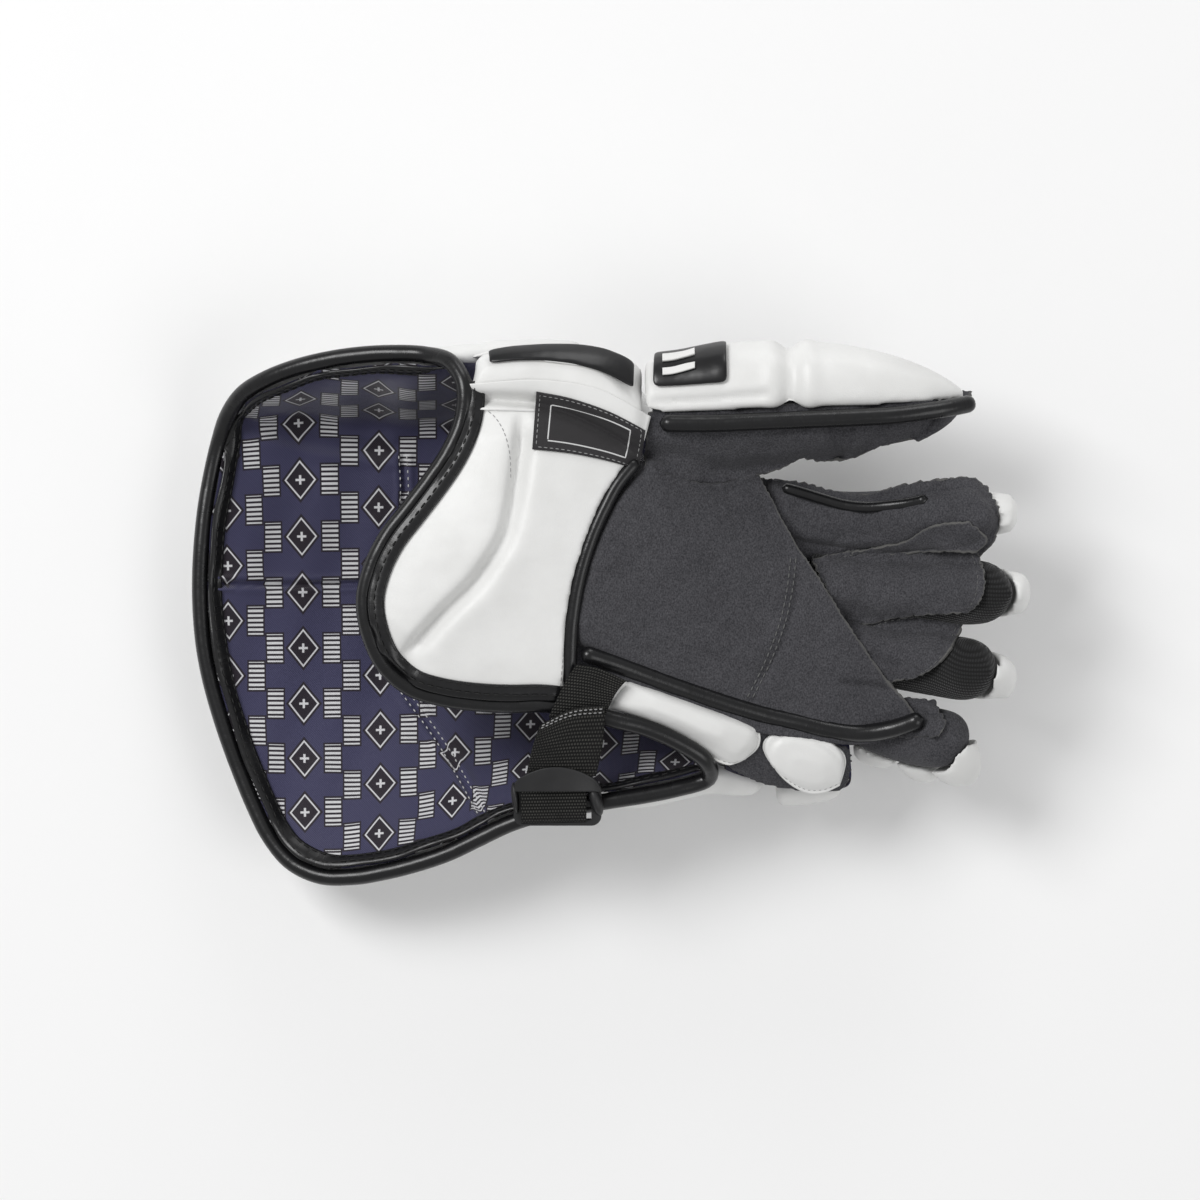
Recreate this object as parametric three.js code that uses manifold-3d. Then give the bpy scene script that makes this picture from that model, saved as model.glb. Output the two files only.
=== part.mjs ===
// A lacrosse goalie glove for the right hand, lying on its back with the palm up. It is a flared cuff with
// a slit on the little-finger side, closed by a webbing strap and a slide buckle, and a padded hand with
// four curled finger stalls and a thumb stall. Millimetres: +X runs to the fingertips, +Y to the thumb and
// +Z up from the floor that the back of the hand rests on. The wrist line is X = 0 until the glove is
// centred at the end.
import * as THREE from "three";
import { mergeVertices } from "three/addons/utils/BufferGeometryUtils.js";
import Module from "manifold-3d";

const wasm = await Module();
wasm.setup();

// Overall sizes.
const CUFF_LENGTH = 158;
const HAND_LENGTH = 176;
const GLOVE_WIDTH = 220;
const GLOVE_HEIGHT = 100;

// Thicknesses of cloth, leather and foam.
const LINING = 1.6;
const CUFF_WALL = 8;
const CUFF_PAD = 6;
const CUFF_EDGE = 3.6;
const FLAP_FOAM = 10;
const SIDE_FOAM = 6;
const PALM_LEATHER = 2.2;
const STALL_CLOTH = 1.8;
const FINGER_PAD = 13;
const THUMB_PAD = 14;
const BACK_PAD = 23;
const SIDE_PAD = 4.5;
const PATCH = 1.1;
const INLAY = 1.2;
const LABEL = 0.9;

// How far the padded pieces bulge, and the depth of the valley pressed into the flap.
const FLAP_ARCH = 5;
const PANEL_BULGE = 5;
const PALM_ARCH = 3;
const FLAP_GROOVE = 3.5;

// Rolls, bindings, webbing and the buckle.
const BINDING_RADIUS = 3.3;
const ROLL_RADIUS = 3.4;
const WELT_RADIUS = 2.2;
const SEAM_RADIUS = 2.8;
const SEAM_STAND = 1.2;
const WEBBING_WIDTH = 25;
const WEBBING = 1.6;
const BUCKLE_CHEEK = 4;
const BUCKLE_LENGTH = 18;
const BUCKLE_BAR = 2.4;
const BUCKLE_THICK = 3;
const WEBBING_ROOM = 1;

// The stalls, across the hand and from palm side to back.
const FINGER_WIDTH = 27;
const FINGER_HEIGHT = 23;
const THUMB_WIDTH = 32;
const THUMB_HEIGHT = 32;

// Clear room between pieces that lie on each other.
const GAP = 0.4;
const SMALL_GAP = 0.3;
const RIM_GAP = 0.5;
const PAD_GAP = 0.7;

// The colour and roughness of each cloth, leather and plastic.
const SEWN = {
  suede: [0x47474b, 0.95],
  mesh: [0x141416, 0.9],
  white: [0xf1f1ef, 0.45],
  black: [0x17181a, 0.35],
  navy: [0x2c2f4e, 0.85],
  webbing: [0x121213, 0.9],
  plastic: [0x1d1e20, 0.4],
};

// A point from its shares of the cuff or hand length, the half width and the height.
function at([along, across, up = 0]) {
  const length = along < 0 ? CUFF_LENGTH : HAND_LENGTH;
  return new THREE.Vector3(along * length, (across * GLOVE_WIDTH) / 2, up * GLOVE_HEIGHT);
}

// A smooth line through rows of [along, across, up].
const line = (rows) => new THREE.CatmullRomCurve3(rows.map(at), false, "centripetal");
const mix = THREE.MathUtils.lerp;
const smooth = (x, from, to) => THREE.MathUtils.smoothstep(x, from, to);
const clamp = THREE.MathUtils.clamp;

// Values read from a short table of [place, value] rows, with straight lines between them.
function table(rows) {
  return (place) => {
    const next = rows.findIndex(([p]) => p >= place);
    if (next < 0) return rows[rows.length - 1][1];
    if (next === 0) return rows[0][1];
    const [p0, v0] = rows[next - 1];
    const [p1, v1] = rows[next];
    return mix(v0, v1, (place - p0) / (p1 - p0));
  };
}

// The same for a table whose values are shares of a size.
const shares = (size, rows) => table(rows.map(([place, share]) => [place, share * size]));

// A surface inside four edges. s runs from the little-finger side to the thumb side, and t from the cuff's
// end to the fingers.
function patch({ near, far, low, high }) {
  const corner = [near.getPoint(0), far.getPoint(0), near.getPoint(1), far.getPoint(1)];
  return (s, t) => {
    const p = near.getPoint(s).multiplyScalar(1 - t).addScaledVector(far.getPoint(s), t);
    p.addScaledVector(low.getPoint(t), 1 - s).addScaledVector(high.getPoint(t), s);
    p.addScaledVector(corner[0], -(1 - s) * (1 - t)).addScaledVector(corner[1], -(1 - s) * t);
    return p.addScaledVector(corner[2], -s * (1 - t)).addScaledVector(corner[3], -s * t);
  };
}

// The same surface moved along its normal, which points up and into the glove's hollow where the distance
// is positive.
function offset(surface, distance) {
  const step = 1e-3;
  return (s, t) => {
    const s0 = clamp(s, step, 1 - step);
    const t0 = clamp(t, step, 1 - step);
    const across = surface(s0 + step, t0).sub(surface(s0 - step, t0));
    const along = surface(s0, t0 + step).sub(surface(s0, t0 - step));
    const d = typeof distance === "function" ? distance(s, t) : distance;
    return surface(s, t).addScaledVector(along.cross(across).normalize(), d);
  };
}

function solid(positions, index) {
  const geometry = new THREE.BufferGeometry();
  const places = new THREE.Float32BufferAttribute(positions.flatMap((p) => p.toArray()), 3);
  geometry.setAttribute("position", places);
  geometry.setIndex(index);
  return outward(geometry);
}

// Turns a closed geometry's faces outwards.
function outward(geometry) {
  const p = geometry.getAttribute("position");
  const index = geometry.index.array;
  const [a, b, c] = [new THREE.Vector3(), new THREE.Vector3(), new THREE.Vector3()];
  let volume = 0;
  for (let i = 0; i < index.length; i += 3) {
    a.fromBufferAttribute(p, index[i]);
    b.fromBufferAttribute(p, index[i + 1]);
    c.fromBufferAttribute(p, index[i + 2]);
    volume += a.dot(b.cross(c));
  }
  if (volume > 0) return geometry;
  for (let i = 0; i < index.length; i += 3) [index[i + 1], index[i + 2]] = [index[i + 2], index[i + 1]];
  return geometry;
}

// A closed slab: point(u, v, side) gives its lower face at side 0 and its upper face at side 1.
function slab(across, along, point) {
  const positions = [];
  const index = [];
  const id = (i, j, side) => (side * (along + 1) + j) * (across + 1) + i;
  const quad = (a, b, c, d) => index.push(a, b, c, a, c, d);
  for (const side of [0, 1])
    for (let j = 0; j <= along; j++)
      for (let i = 0; i <= across; i++) positions.push(point(i / across, j / along, side));
  for (let j = 0; j < along; j++)
    for (let i = 0; i < across; i++) {
      quad(id(i, j, 1), id(i + 1, j, 1), id(i + 1, j + 1, 1), id(i, j + 1, 1));
      quad(id(i, j, 0), id(i, j + 1, 0), id(i + 1, j + 1, 0), id(i + 1, j, 0));
    }
  for (let i = 0; i < across; i++) {
    quad(id(i, 0, 0), id(i + 1, 0, 0), id(i + 1, 0, 1), id(i, 0, 1));
    quad(id(i, along, 1), id(i + 1, along, 1), id(i + 1, along, 0), id(i, along, 0));
  }
  for (let j = 0; j < along; j++) {
    quad(id(0, j, 1), id(0, j + 1, 1), id(0, j + 1, 0), id(0, j, 0));
    quad(id(across, j, 0), id(across, j + 1, 0), id(across, j + 1, 1), id(across, j, 1));
  }
  return solid(positions, index);
}

// A closed round pad: point(angle, r, side) with r from 0 at its middle to 1 at its outline.
function disc(sides, rings, point) {
  const positions = [point(0, 0, 0), point(0, 0, 1)];
  const index = [];
  const id = (i, j, side) => 2 + (side * rings + j - 1) * sides + (i % sides);
  for (const side of [0, 1])
    for (let j = 1; j <= rings; j++)
      for (let i = 0; i < sides; i++) positions.push(point((i / sides) * 2 * Math.PI, j / rings, side));
  for (let i = 0; i < sides; i++) {
    index.push(1, id(i, 1, 1), id(i + 1, 1, 1), 0, id(i + 1, 1, 0), id(i, 1, 0));
    for (let j = 1; j < rings; j++) {
      index.push(id(i, j, 1), id(i, j + 1, 1), id(i + 1, j + 1, 1));
      index.push(id(i, j, 1), id(i + 1, j + 1, 1), id(i + 1, j, 1));
      index.push(id(i, j, 0), id(i + 1, j + 1, 0), id(i, j + 1, 0));
      index.push(id(i, j, 0), id(i + 1, j, 0), id(i + 1, j + 1, 0));
    }
    index.push(id(i, rings, 1), id(i, rings, 0), id(i + 1, rings, 0));
    index.push(id(i, rings, 1), id(i + 1, rings, 0), id(i + 1, rings, 1));
  }
  return solid(positions, index);
}

// A roll of leather round a cord: an open length with flat ends.
function roll(path, radius, steps, sides = 8) {
  const turn = (i) => (i / sides) * 2 * Math.PI;
  const corner = (_, i) => new THREE.Vector2(radius * Math.cos(turn(i)), radius * Math.sin(turn(i)));
  const round = new THREE.Shape(Array.from({ length: sides }, corner));
  return new THREE.ExtrudeGeometry(round, { extrudePath: path, steps, bevelEnabled: false });
}

// Between a geometry and a manifold-3d solid, for cutting one piece clear of another.
function manifold(geometry) {
  const places = geometry.getAttribute("position").clone();
  const plain = new THREE.BufferGeometry().setAttribute("position", places);
  if (geometry.index) plain.setIndex(geometry.index.clone());
  const merged = mergeVertices(plain, 1e-3);
  return new wasm.Manifold(new wasm.Mesh({ numProp: 3, vertProperties: merged.attributes.position.array,
    triVerts: new Uint32Array(merged.index.array) }));
}

function geometryOf(body) {
  const { numProp, vertProperties, triVerts } = body.getMesh();
  const count = vertProperties.length / numProp;
  const corner = (_, i) => new THREE.Vector3().fromArray(vertProperties, i * numProp);
  return solid(Array.from({ length: count }, corner), [...triVerts]);
}

// The largest body that is left of a piece when others are cut from it.
function cutBy(geometry, ...cutters) {
  const left = cutters.reduce((body, cutter) => body.subtract(manifold(cutter)), manifold(geometry));
  const bodies = left.decompose().sort((a, b) => b.volume() - a.volume());
  return geometryOf(bodies[0]);
}

const glove = new THREE.Group();
function piece(name, geometry, [color, roughness]) {
  const mesh = new THREE.Mesh(geometry, new THREE.MeshStandardMaterial({ color, roughness, metalness: 0 }));
  mesh.name = name;
  glove.add(mesh);
  return mesh;
}

// The back of the glove seen from inside is one trough: it opens at the elbow, passes the wrist and ends
// at the fingers' roots. Its thumb side stands up as a wall as far as the wrist, and its little-finger
// side rises more gently.
const BACK_EDGES = {
  near: line([[-0.744, -0.967], [-0.83, -0.8], [-0.916, -0.48], [-0.975, -0.182], [-0.995, 0.073],
    [-0.97, 0.4], [-0.935, 0.64], [-0.876, 0.793]]),
  far: line([[0.6, -0.67], [0.585, -0.4], [0.535, -0.12], [0.46, 0.13], [0.385, 0.36], [0.365, 0.5]]),
  low: line([[-0.744, -0.967], [-0.58, -0.96], [-0.38, -0.88], [-0.177, -0.745], [0.023, -0.68],
    [0.17, -0.64], [0.285, -0.59], [0.44, -0.66], [0.6, -0.67]]),
  high: line([[-0.876, 0.793], [-0.734, 0.87], [-0.544, 0.912], [-0.37, 0.902], [-0.177, 0.93],
    [0.02, 0.945], [0.11, 0.7], [0.22, 0.53], [0.365, 0.5]]),
};
const backPlan = patch(BACK_EDGES);
const SLIT_END = 0.745;
const floorUp = table([[0, 0.27], [0.08, 0.2], [0.18, 0.15], [0.5, 0.15], [0.62, 0.19], [0.8, 0.22],
  [1, 0.25]]);
const thumbRimUp = table([[0, 0.46], [0.125, 0.56], [0.3, 0.68], [0.42, 0.75], [0.625, 0.7], [0.75, 0.46],
  [1, 0.42]]);
const pinkyRimUp = table([[0, 0.34], [0.16, 0.42], [0.32, 0.5], [0.5, 0.57], [0.75, 0.58], [0.87, 0.46],
  [1, 0.38]]);
const thumbFoot = table([[0, 0.92], [0.13, 0.87], [0.3, 0.82], [0.62, 0.8], [0.75, 0.86], [1, 0.86]]);
const PINKY_FOOT = 0.32;

function backUp(s, t) {
  const floor = floorUp(t);
  const foot = thumbFoot(t);
  const wall = clamp((s - foot) / (1 - foot), 0, 1);
  const gentle = clamp((PINKY_FOOT - s) / PINKY_FOOT, 0, 1);
  const rise = 0.45 * wall + 0.55 * (1 - (1 - wall) ** 3);
  return floor + (thumbRimUp(t) - floor) * rise + (pinkyRimUp(t) - floor) * gentle ** 1.5;
}

function backInside(s, t) {
  const p = backPlan(s, t);
  p.z = backUp(s, t) * GLOVE_HEIGHT;
  return p;
}

// The cuff's foam wall thins to its bound edge, and its outside has long pads with stitched valleys
// between them.
const CUFF_PADS = 4;
const WRIST_END = (s) => mix(0.5, 0.61, s);
function cuffWall(s, t) {
  const edge = Math.min(smooth(s, 0, 0.09), smooth(1 - s, 0, 0.05), smooth(t, 0, 0.06));
  const ends = smooth(t, 0.03, 0.08) * smooth(WRIST_END(s) - t, 0, 0.06);
  const pads = Math.abs(Math.sin(CUFF_PADS * Math.PI * s)) ** 0.5 * ends;
  return mix(CUFF_EDGE, CUFF_WALL + CUFF_PAD * pads, edge);
}

// Rows across the trough, closer together in its walls, and a small step in from its bound edges.
function troughRow(u, t) {
  if (u < 0.28) return mix(0.006, PINKY_FOOT, u / 0.28);
  if (u < 0.67) return mix(PINKY_FOOT, thumbFoot(t), (u - 0.28) / 0.39);
  return mix(thumbFoot(t), 0.994, (u - 0.67) / 0.33);
}
const CUFF_START = 0.006;
const onFloor = (p) => p.setZ(Math.max(p.z, 0));

const liningUnder = offset(backInside, -LINING);
const shellInside = offset(backInside, -(LINING + GAP));
const shellOutside = offset(backInside, (s, t) => -(LINING + GAP + cuffWall(s, t)));
const cuffMiddle = offset(backInside, -(LINING + GAP + CUFF_EDGE) / 2);

const CUFF_ROWS = 18;
const CUFF_STEPS = 8;
const GUSSET_STEPS = 2;
const LINING_END = (s) => mix(SLIT_END, 0.625, s);
function cuffPlace(u, step) {
  const middle = troughRow(u, 0.3);
  const t = step <= CUFF_STEPS ? mix(CUFF_START, WRIST_END(middle), step / CUFF_STEPS)
    : mix(WRIST_END(middle), LINING_END(middle), (step - CUFF_STEPS) / GUSSET_STEPS);
  return [troughRow(u, t), t];
}
const cuffSheet = (upper, lower) => slab(CUFF_ROWS, CUFF_STEPS + GUSSET_STEPS, (u, v, side) =>
  (side ? upper : lower)(...cuffPlace(u, v * (CUFF_STEPS + GUSSET_STEPS))));
const cuffLining = cuffSheet(backInside, liningUnder);
const cuffShell = slab(CUFF_ROWS, CUFF_STEPS, (u, v, side) => {
  const place = cuffPlace(u, v * CUFF_STEPS);
  return side ? shellInside(...place) : onFloor(shellOutside(...place));
});
const HAND_STEPS = 5;
const SEAM = 0.006;
const handSheet = (seam, upper, lower) => slab(CUFF_ROWS, HAND_STEPS, (u, v, side) => {
  const t = mix(LINING_END(troughRow(u, 0.3)) + seam, 1, v);
  return (side ? upper : lower)(troughRow(u, t), t);
});
const handLining = handSheet(SEAM, backInside, liningUnder);

// Foam pads cover the back of the hand: a row of three behind a row of four at the fingers' roots. They are
// flat where the glove rests on them.
const ROW_BREAK = 0.865;
const PAD_BREAK = 0.012;
const REAR_PADS = [[0.008, 0.33], [0.35, 0.63], [0.65, 0.97]];
const FRONT_PADS = [[0.008, 0.24], [0.26, 0.49], [0.51, 0.73], [0.75, 0.98]];
const padInside = offset(backInside, -(LINING + PAD_GAP));
const PAD_ROWS = 5;
const FOOT_ROW = 3 / PAD_ROWS;
function handPad([s0, s1], from, to) {
  const row = (u, t) => {
    if (s1 < thumbFoot(t)) return mix(s0, s1, u);
    if (u < FOOT_ROW) return mix(s0, thumbFoot(t), u / FOOT_ROW);
    return mix(thumbFoot(t), s1, (u - FOOT_ROW) / (1 - FOOT_ROW));
  };
  return slab(PAD_ROWS, 4, (u, v, side) => {
    const t = mix(from(mix(s0, s1, u)), to(mix(s0, s1, u)), v);
    const s = row(u, t);
    if (side) return padInside(s, t);
    const sides = Math.min(smooth(u, 0, 0.25), smooth(1 - u, 0, 0.25));
    const crown = Math.min(sides, smooth(v, 0, 0.3), smooth(1 - v, 0, 0.3));
    const deep = BACK_PAD * mix(0.55, 1, crown) * mix(1, 0.4, smooth(s, 0.78, 0.95));
    return onFloor(offset(backInside, -(LINING + PAD_GAP + deep))(s, t));
  });
}
const liningRoom = [offset(backInside, BACK_PAD), offset(backInside, -(LINING + PAD_GAP))];
const padRoom = [cuffSheet(...liningRoom), handSheet(0, ...liningRoom)];
const rearPads = REAR_PADS.map((span) => handPad(span, (s) => WRIST_END(s) + PAD_BREAK, () => ROW_BREAK));
const frontPads = FRONT_PADS.map((span) => handPad(span, () => ROW_BREAK + PAD_BREAK, () => 0.995));

// The wrist flap: a foam pad in white leather that arches over the wrist, sewn on at the thumb side and
// along the palm.
const FLAP_EDGES = {
  near: line([[-0.475, -0.27, 0.84], [-0.545, -0.12, 0.86], [-0.565, 0.06, 0.87], [-0.515, 0.25, 0.88],
    [-0.425, 0.42, 0.88], [-0.35, 0.58, 0.87], [-0.31, 0.745, 0.85]]),
  far: line([[-0.06, -0.345, 0.8], [-0.056, -0.11, 0.83], [-0.04, 0.08, 0.85], [0, 0.27, 0.86],
    [0.045, 0.43, 0.86], [0.11, 0.56, 0.84]]),
  low: line([[-0.475, -0.27, 0.84], [-0.38, -0.315, 0.83], [-0.228, -0.34, 0.81], [-0.06, -0.345, 0.8]]),
  high: line([[-0.31, 0.745, 0.85], [-0.127, 0.74, 0.86], [0.023, 0.655, 0.86], [0.11, 0.56, 0.84]]),
};
const flapPlan = patch(FLAP_EDGES);
function flapTop(s, t) {
  const p = flapPlan(s, t);
  p.z += FLAP_ARCH * Math.sin(Math.PI * s) * Math.sin(Math.PI * clamp(t, 0, 1));
  return p;
}

// A curved valley runs down the flap from its thumb corner and leaves a long lobe along the free edge.
const groovePlace = (s) => 0.07 + 0.41 * Math.sin(Math.PI * s ** 1.25);
const flapColumn = (v, s) => (v < 0.5 ? 2 * v * groovePlace(s) : mix(groovePlace(s), 1, 2 * v - 1));
const flapEnds = (s) => Math.min(smooth(s, 0, 0.12), smooth(1 - s, 0, 0.1));
const flapFoam = (s) => FLAP_FOAM * mix(0.55, 1, flapEnds(s));
const wristFlap = slab(10, 8, (u, v, side) => {
  const s = mix(0.005, 0.995, u);
  const t = clamp(flapColumn(v, s), 0.008, 0.992);
  const p = flapTop(s, t);
  const thin = mix(0.55, 1, Math.min(smooth(v, 0, 0.13), smooth(1 - v, 0, 0.13)));
  if (!side) return p.setZ(p.z - flapFoam(s) * thin);
  return p.setZ(p.z - (v === 0.5 ? FLAP_GROOVE * smooth(s, 0, 0.1) * smooth(1 - s, 0, 0.1) : 0));
});
const flapLining = slab(8, 5, (u, v, side) => {
  const p = flapTop(mix(0.02, 0.98, u), mix(0.03, 0.97, v));
  return p.setZ(p.z - FLAP_FOAM - GAP - (side ? 0 : LINING));
});

// The side panel: it closes the wrist on the thumb side, from the cuff's wall over to the flap.
const panelTop = line([[-0.3, 0.775, 0.845], [-0.127, 0.77, 0.86], [0.023, 0.685, 0.86],
  [0.115, 0.595, 0.84]]);
const panelFoot = line([[-0.29, 0.93, 0.79], [-0.177, 0.955, 0.775], [0.02, 0.965, 0.755],
  [0.125, 0.9, 0.74]]);
function panelOutside(s, t) {
  const p = panelTop.getPoint(t).lerp(panelFoot.getPoint(t), s);
  const bulge = PANEL_BULGE * Math.sin(Math.PI * s) * (0.6 + 0.4 * Math.sin(Math.PI * t));
  p.y += bulge * 0.8;
  p.z += bulge;
  return p;
}
const sidePanel = slab(6, 8, (u, v, side) => {
  const p = panelOutside(u, v);
  const lean = (u * Math.PI) / 2;
  if (!side) p.add(new THREE.Vector3(0, -SIDE_FOAM * Math.sin(lean), -SIDE_FOAM * Math.cos(lean)));
  return p;
});

// The bound rim is one loop: round the cuff, along the flap's free edge and back along the slit to its
// closed end.
const RIM_CORNER = 0.4;
const rimPoints = [
  ...[0.98, 0.84, 0.68, 0.5, 0.33, 0.16, 0.05].map((share) => cuffMiddle(0, share * SLIT_END)),
  ...[0.07, 0.25, 0.45, 0.65, 0.84, 0.95].map((s) => cuffMiddle(s, 0)),
  ...[0.12, 0.4, 0.65, 0.87].map((share) => cuffMiddle(1, share * RIM_CORNER)),
];
const EDGE_DROP = 0.3 * FLAP_FOAM;
const flapEdgeMiddle = (s, t) => flapTop(s, t).add(new THREE.Vector3(0, 0, -EDGE_DROP));
rimPoints.push(at([-0.325, 0.86, 0.81]));
rimPoints.push(...[0.97, 0.84, 0.67, 0.5, 0.33, 0.17, 0.02].map((s) => flapEdgeMiddle(s, 0)));
rimPoints.push(...[0.35, 0.7, 0.97].map((t) => flapEdgeMiddle(0, t)));
const SLIT_EDGE = [[0.032, -0.387, 0.76], [0.132, -0.43, 0.725], [0.222, -0.5, 0.685],
  [0.272, -0.565, 0.635]];
rimPoints.push(...SLIT_EDGE.map(at));
const rimPath = new THREE.CatmullRomCurve3(rimPoints, true, "centripetal");
const RIM_STEPS = 66;
const rimTube = (radius) => new THREE.TubeGeometry(rimPath, RIM_STEPS, radius, 6, true);
const rimRoom = rimTube(BINDING_RADIUS + RIM_GAP);

// The flap's other edge has a binding of its own, along the seam to the palm.
const seamSet = new THREE.Vector3(SEAM_STAND, 0, -EDGE_DROP);
const seamPath = new THREE.CatmullRomCurve3(
  [0.06, 0.25, 0.45, 0.65, 0.85, 0.97].map((s) => flapTop(s, 1).add(seamSet)));
const seamTube = (radius) => roll(seamPath, radius, 14);
const seamRoom = seamTube(SEAM_RADIUS + SMALL_GAP);

piece("cuff_lining", cutBy(cuffLining, rimRoom), SEWN.navy);
piece("hand_lining", cutBy(handLining, rimRoom), SEWN.navy);
piece("cuff_shell", cutBy(cuffShell, rimRoom), SEWN.white);
piece("wrist_flap", cutBy(wristFlap, rimRoom, seamRoom), SEWN.white);
piece("flap_lining", cutBy(flapLining, rimRoom, seamRoom), SEWN.navy);
piece("side_panel", cutBy(sidePanel, rimRoom, seamRoom), SEWN.white);
rearPads.forEach((pad, i) => {
  const room = i === 2 ? padRoom : [];
  piece(`hand_pad_rear_${i + 1}`, cutBy(pad, rimRoom, ...room), SEWN.white);
});
frontPads.forEach((pad, i) => {
  const clear = i === 3 ? cutBy(pad, padRoom[1]) : pad;
  piece(`hand_pad_front_${i + 1}`, clear, SEWN.white);
});
piece("cuff_binding", rimTube(BINDING_RADIUS), SEWN.black);
piece("flap_binding", cutBy(seamTube(SEAM_RADIUS), rimRoom), SEWN.black);

// The palm: suede from the wrist seam to the diagonal fold over the roots of the fingers.
const palmPlan = patch({
  near: line([[-0.022, -0.118, 0.79], [-0.011, 0.06, 0.81], [0.028, 0.27, 0.82], [0.072, 0.41, 0.81],
    [0.136, 0.53, 0.765]]),
  far: line([[0.61, -0.408, 0.585], [0.57, -0.1, 0.6], [0.475, 0.235, 0.595], [0.385, 0.53, 0.585]]),
  low: line([[-0.022, -0.118, 0.79], [0.06, -0.158, 0.75], [0.175, -0.228, 0.7], [0.359, -0.328, 0.64],
    [0.461, -0.368, 0.605], [0.61, -0.408, 0.585]]),
  high: line([[0.136, 0.53, 0.765], [0.2, 0.525, 0.715], [0.28, 0.528, 0.64], [0.385, 0.53, 0.585]]),
});
function palmTop(s, t) {
  const p = palmPlan(s, t);
  p.z += PALM_ARCH * Math.sin(Math.PI * s) * Math.sin(Math.PI * t);
  return p;
}
const palmUnder = offset(palmTop, -PALM_LEATHER);
piece("palm_panel", slab(9, 8, (s, t, side) => (side ? palmTop(s, t) : palmUnder(s, t))), SEWN.suede);

// The padded roll along the little-finger side of the palm.
const rollPath = line([[-0.024, -0.155, 0.79], [0.06, -0.197, 0.75], [0.175, -0.265, 0.7],
  [0.359, -0.364, 0.64], [0.461, -0.404, 0.605], [0.602, -0.447, 0.585], [0.693, -0.429, 0.61],
  [0.755, -0.393, 0.655]]);
const palmRoll = (radius) => roll(rollPath, radius, 18);
const rollRoom = palmRoll(ROLL_RADIUS + SMALL_GAP);
piece("palm_roll", palmRoll(ROLL_RADIUS), SEWN.black);

// The side wall: suede from the roll down to the back pads, from the end of the slit to the little finger.
const wallPlan = patch({
  near: line([[0.035, -0.345, 0.745], [0.03, -0.225, 0.755]]),
  far: line([[0.585, -0.68, 0.415], [0.605, -0.6, 0.49], [0.6, -0.495, 0.565]]),
  low: line([[0.035, -0.345, 0.745], [0.132, -0.39, 0.712], [0.224, -0.455, 0.67], [0.285, -0.52, 0.635],
    [0.33, -0.61, 0.575], [0.44, -0.665, 0.485], [0.585, -0.68, 0.415]]),
  high: line([[0.03, -0.225, 0.755], [0.13, -0.283, 0.71], [0.23, -0.336, 0.675], [0.32, -0.388, 0.645],
    [0.4, -0.425, 0.62], [0.5, -0.465, 0.59], [0.6, -0.495, 0.565]]),
});
const wallUnder = offset(wallPlan, -PALM_LEATHER);
const sideWall = slab(6, 8, (s, t, side) => (side ? wallPlan(s, t) : wallUnder(s, t)));
piece("side_wall", cutBy(sideWall, rimRoom, rollRoom), SEWN.suede);

// A padded patch on a surface. Its corners are places on the surface, and its outline is a rounded box
// between them.
function padOn(surface, { corners: [a, b, c, d], round, thick }) {
  const bend = (x) => Math.sign(x) * Math.abs(x) ** round;
  return disc(20, 2, (angle, r, side) => {
    const x = 0.5 + 0.5 * r * bend(Math.cos(angle));
    const y = 0.5 + 0.5 * r * bend(Math.sin(angle));
    const place = (i) => mix(mix(a[i], b[i], y), mix(d[i], c[i], y), x);
    return offset(surface, GAP + side * thick * (1 - 0.55 * r ** 4))(place(0), place(1));
  });
}
const longPad = padOn(wallPlan, { corners: [[0.08, 0.03], [0.9, 0.03], [0.92, 0.62], [0.24, 0.58]],
  round: 0.35, thick: SIDE_PAD });
const ovalPad = padOn(wallPlan, { corners: [[0.04, 0.79], [0.9, 0.69], [0.93, 0.93], [0.12, 0.98]],
  round: 0.8, thick: SIDE_PAD * 0.6 });
piece("side_pad_long", cutBy(longPad, rollRoom, rimRoom), SEWN.white);
piece("side_pad_oval", cutBy(ovalPad, rollRoom), SEWN.white);

// A limb is a stall with its pads: a curved axis, its half widths along it, and the way its back faces.
function limb({ axis, width, height, back, dome }) {
  const curve = line(axis);
  return (t, angle, out) => {
    const inside = clamp(t, 0.001, 0.999);
    const tangent = curve.getTangentAt(inside);
    const p = curve.getPointAt(inside).addScaledVector(tangent, (t - inside) * curve.getLength());
    const side = new THREE.Vector3().crossVectors(back, tangent).normalize();
    const outward = new THREE.Vector3().crossVectors(tangent, side);
    const closing = t > dome ? Math.sqrt(Math.max(1 - ((t - dome) / (1 - dome)) ** 2, 0.01)) : 1;
    const [w, h] = [width(t) * closing + out, (height(t) / 2) * closing + out];
    return p.addScaledVector(side, w * Math.sin(angle)).addScaledVector(outward, h * Math.cos(angle));
  };
}

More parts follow.
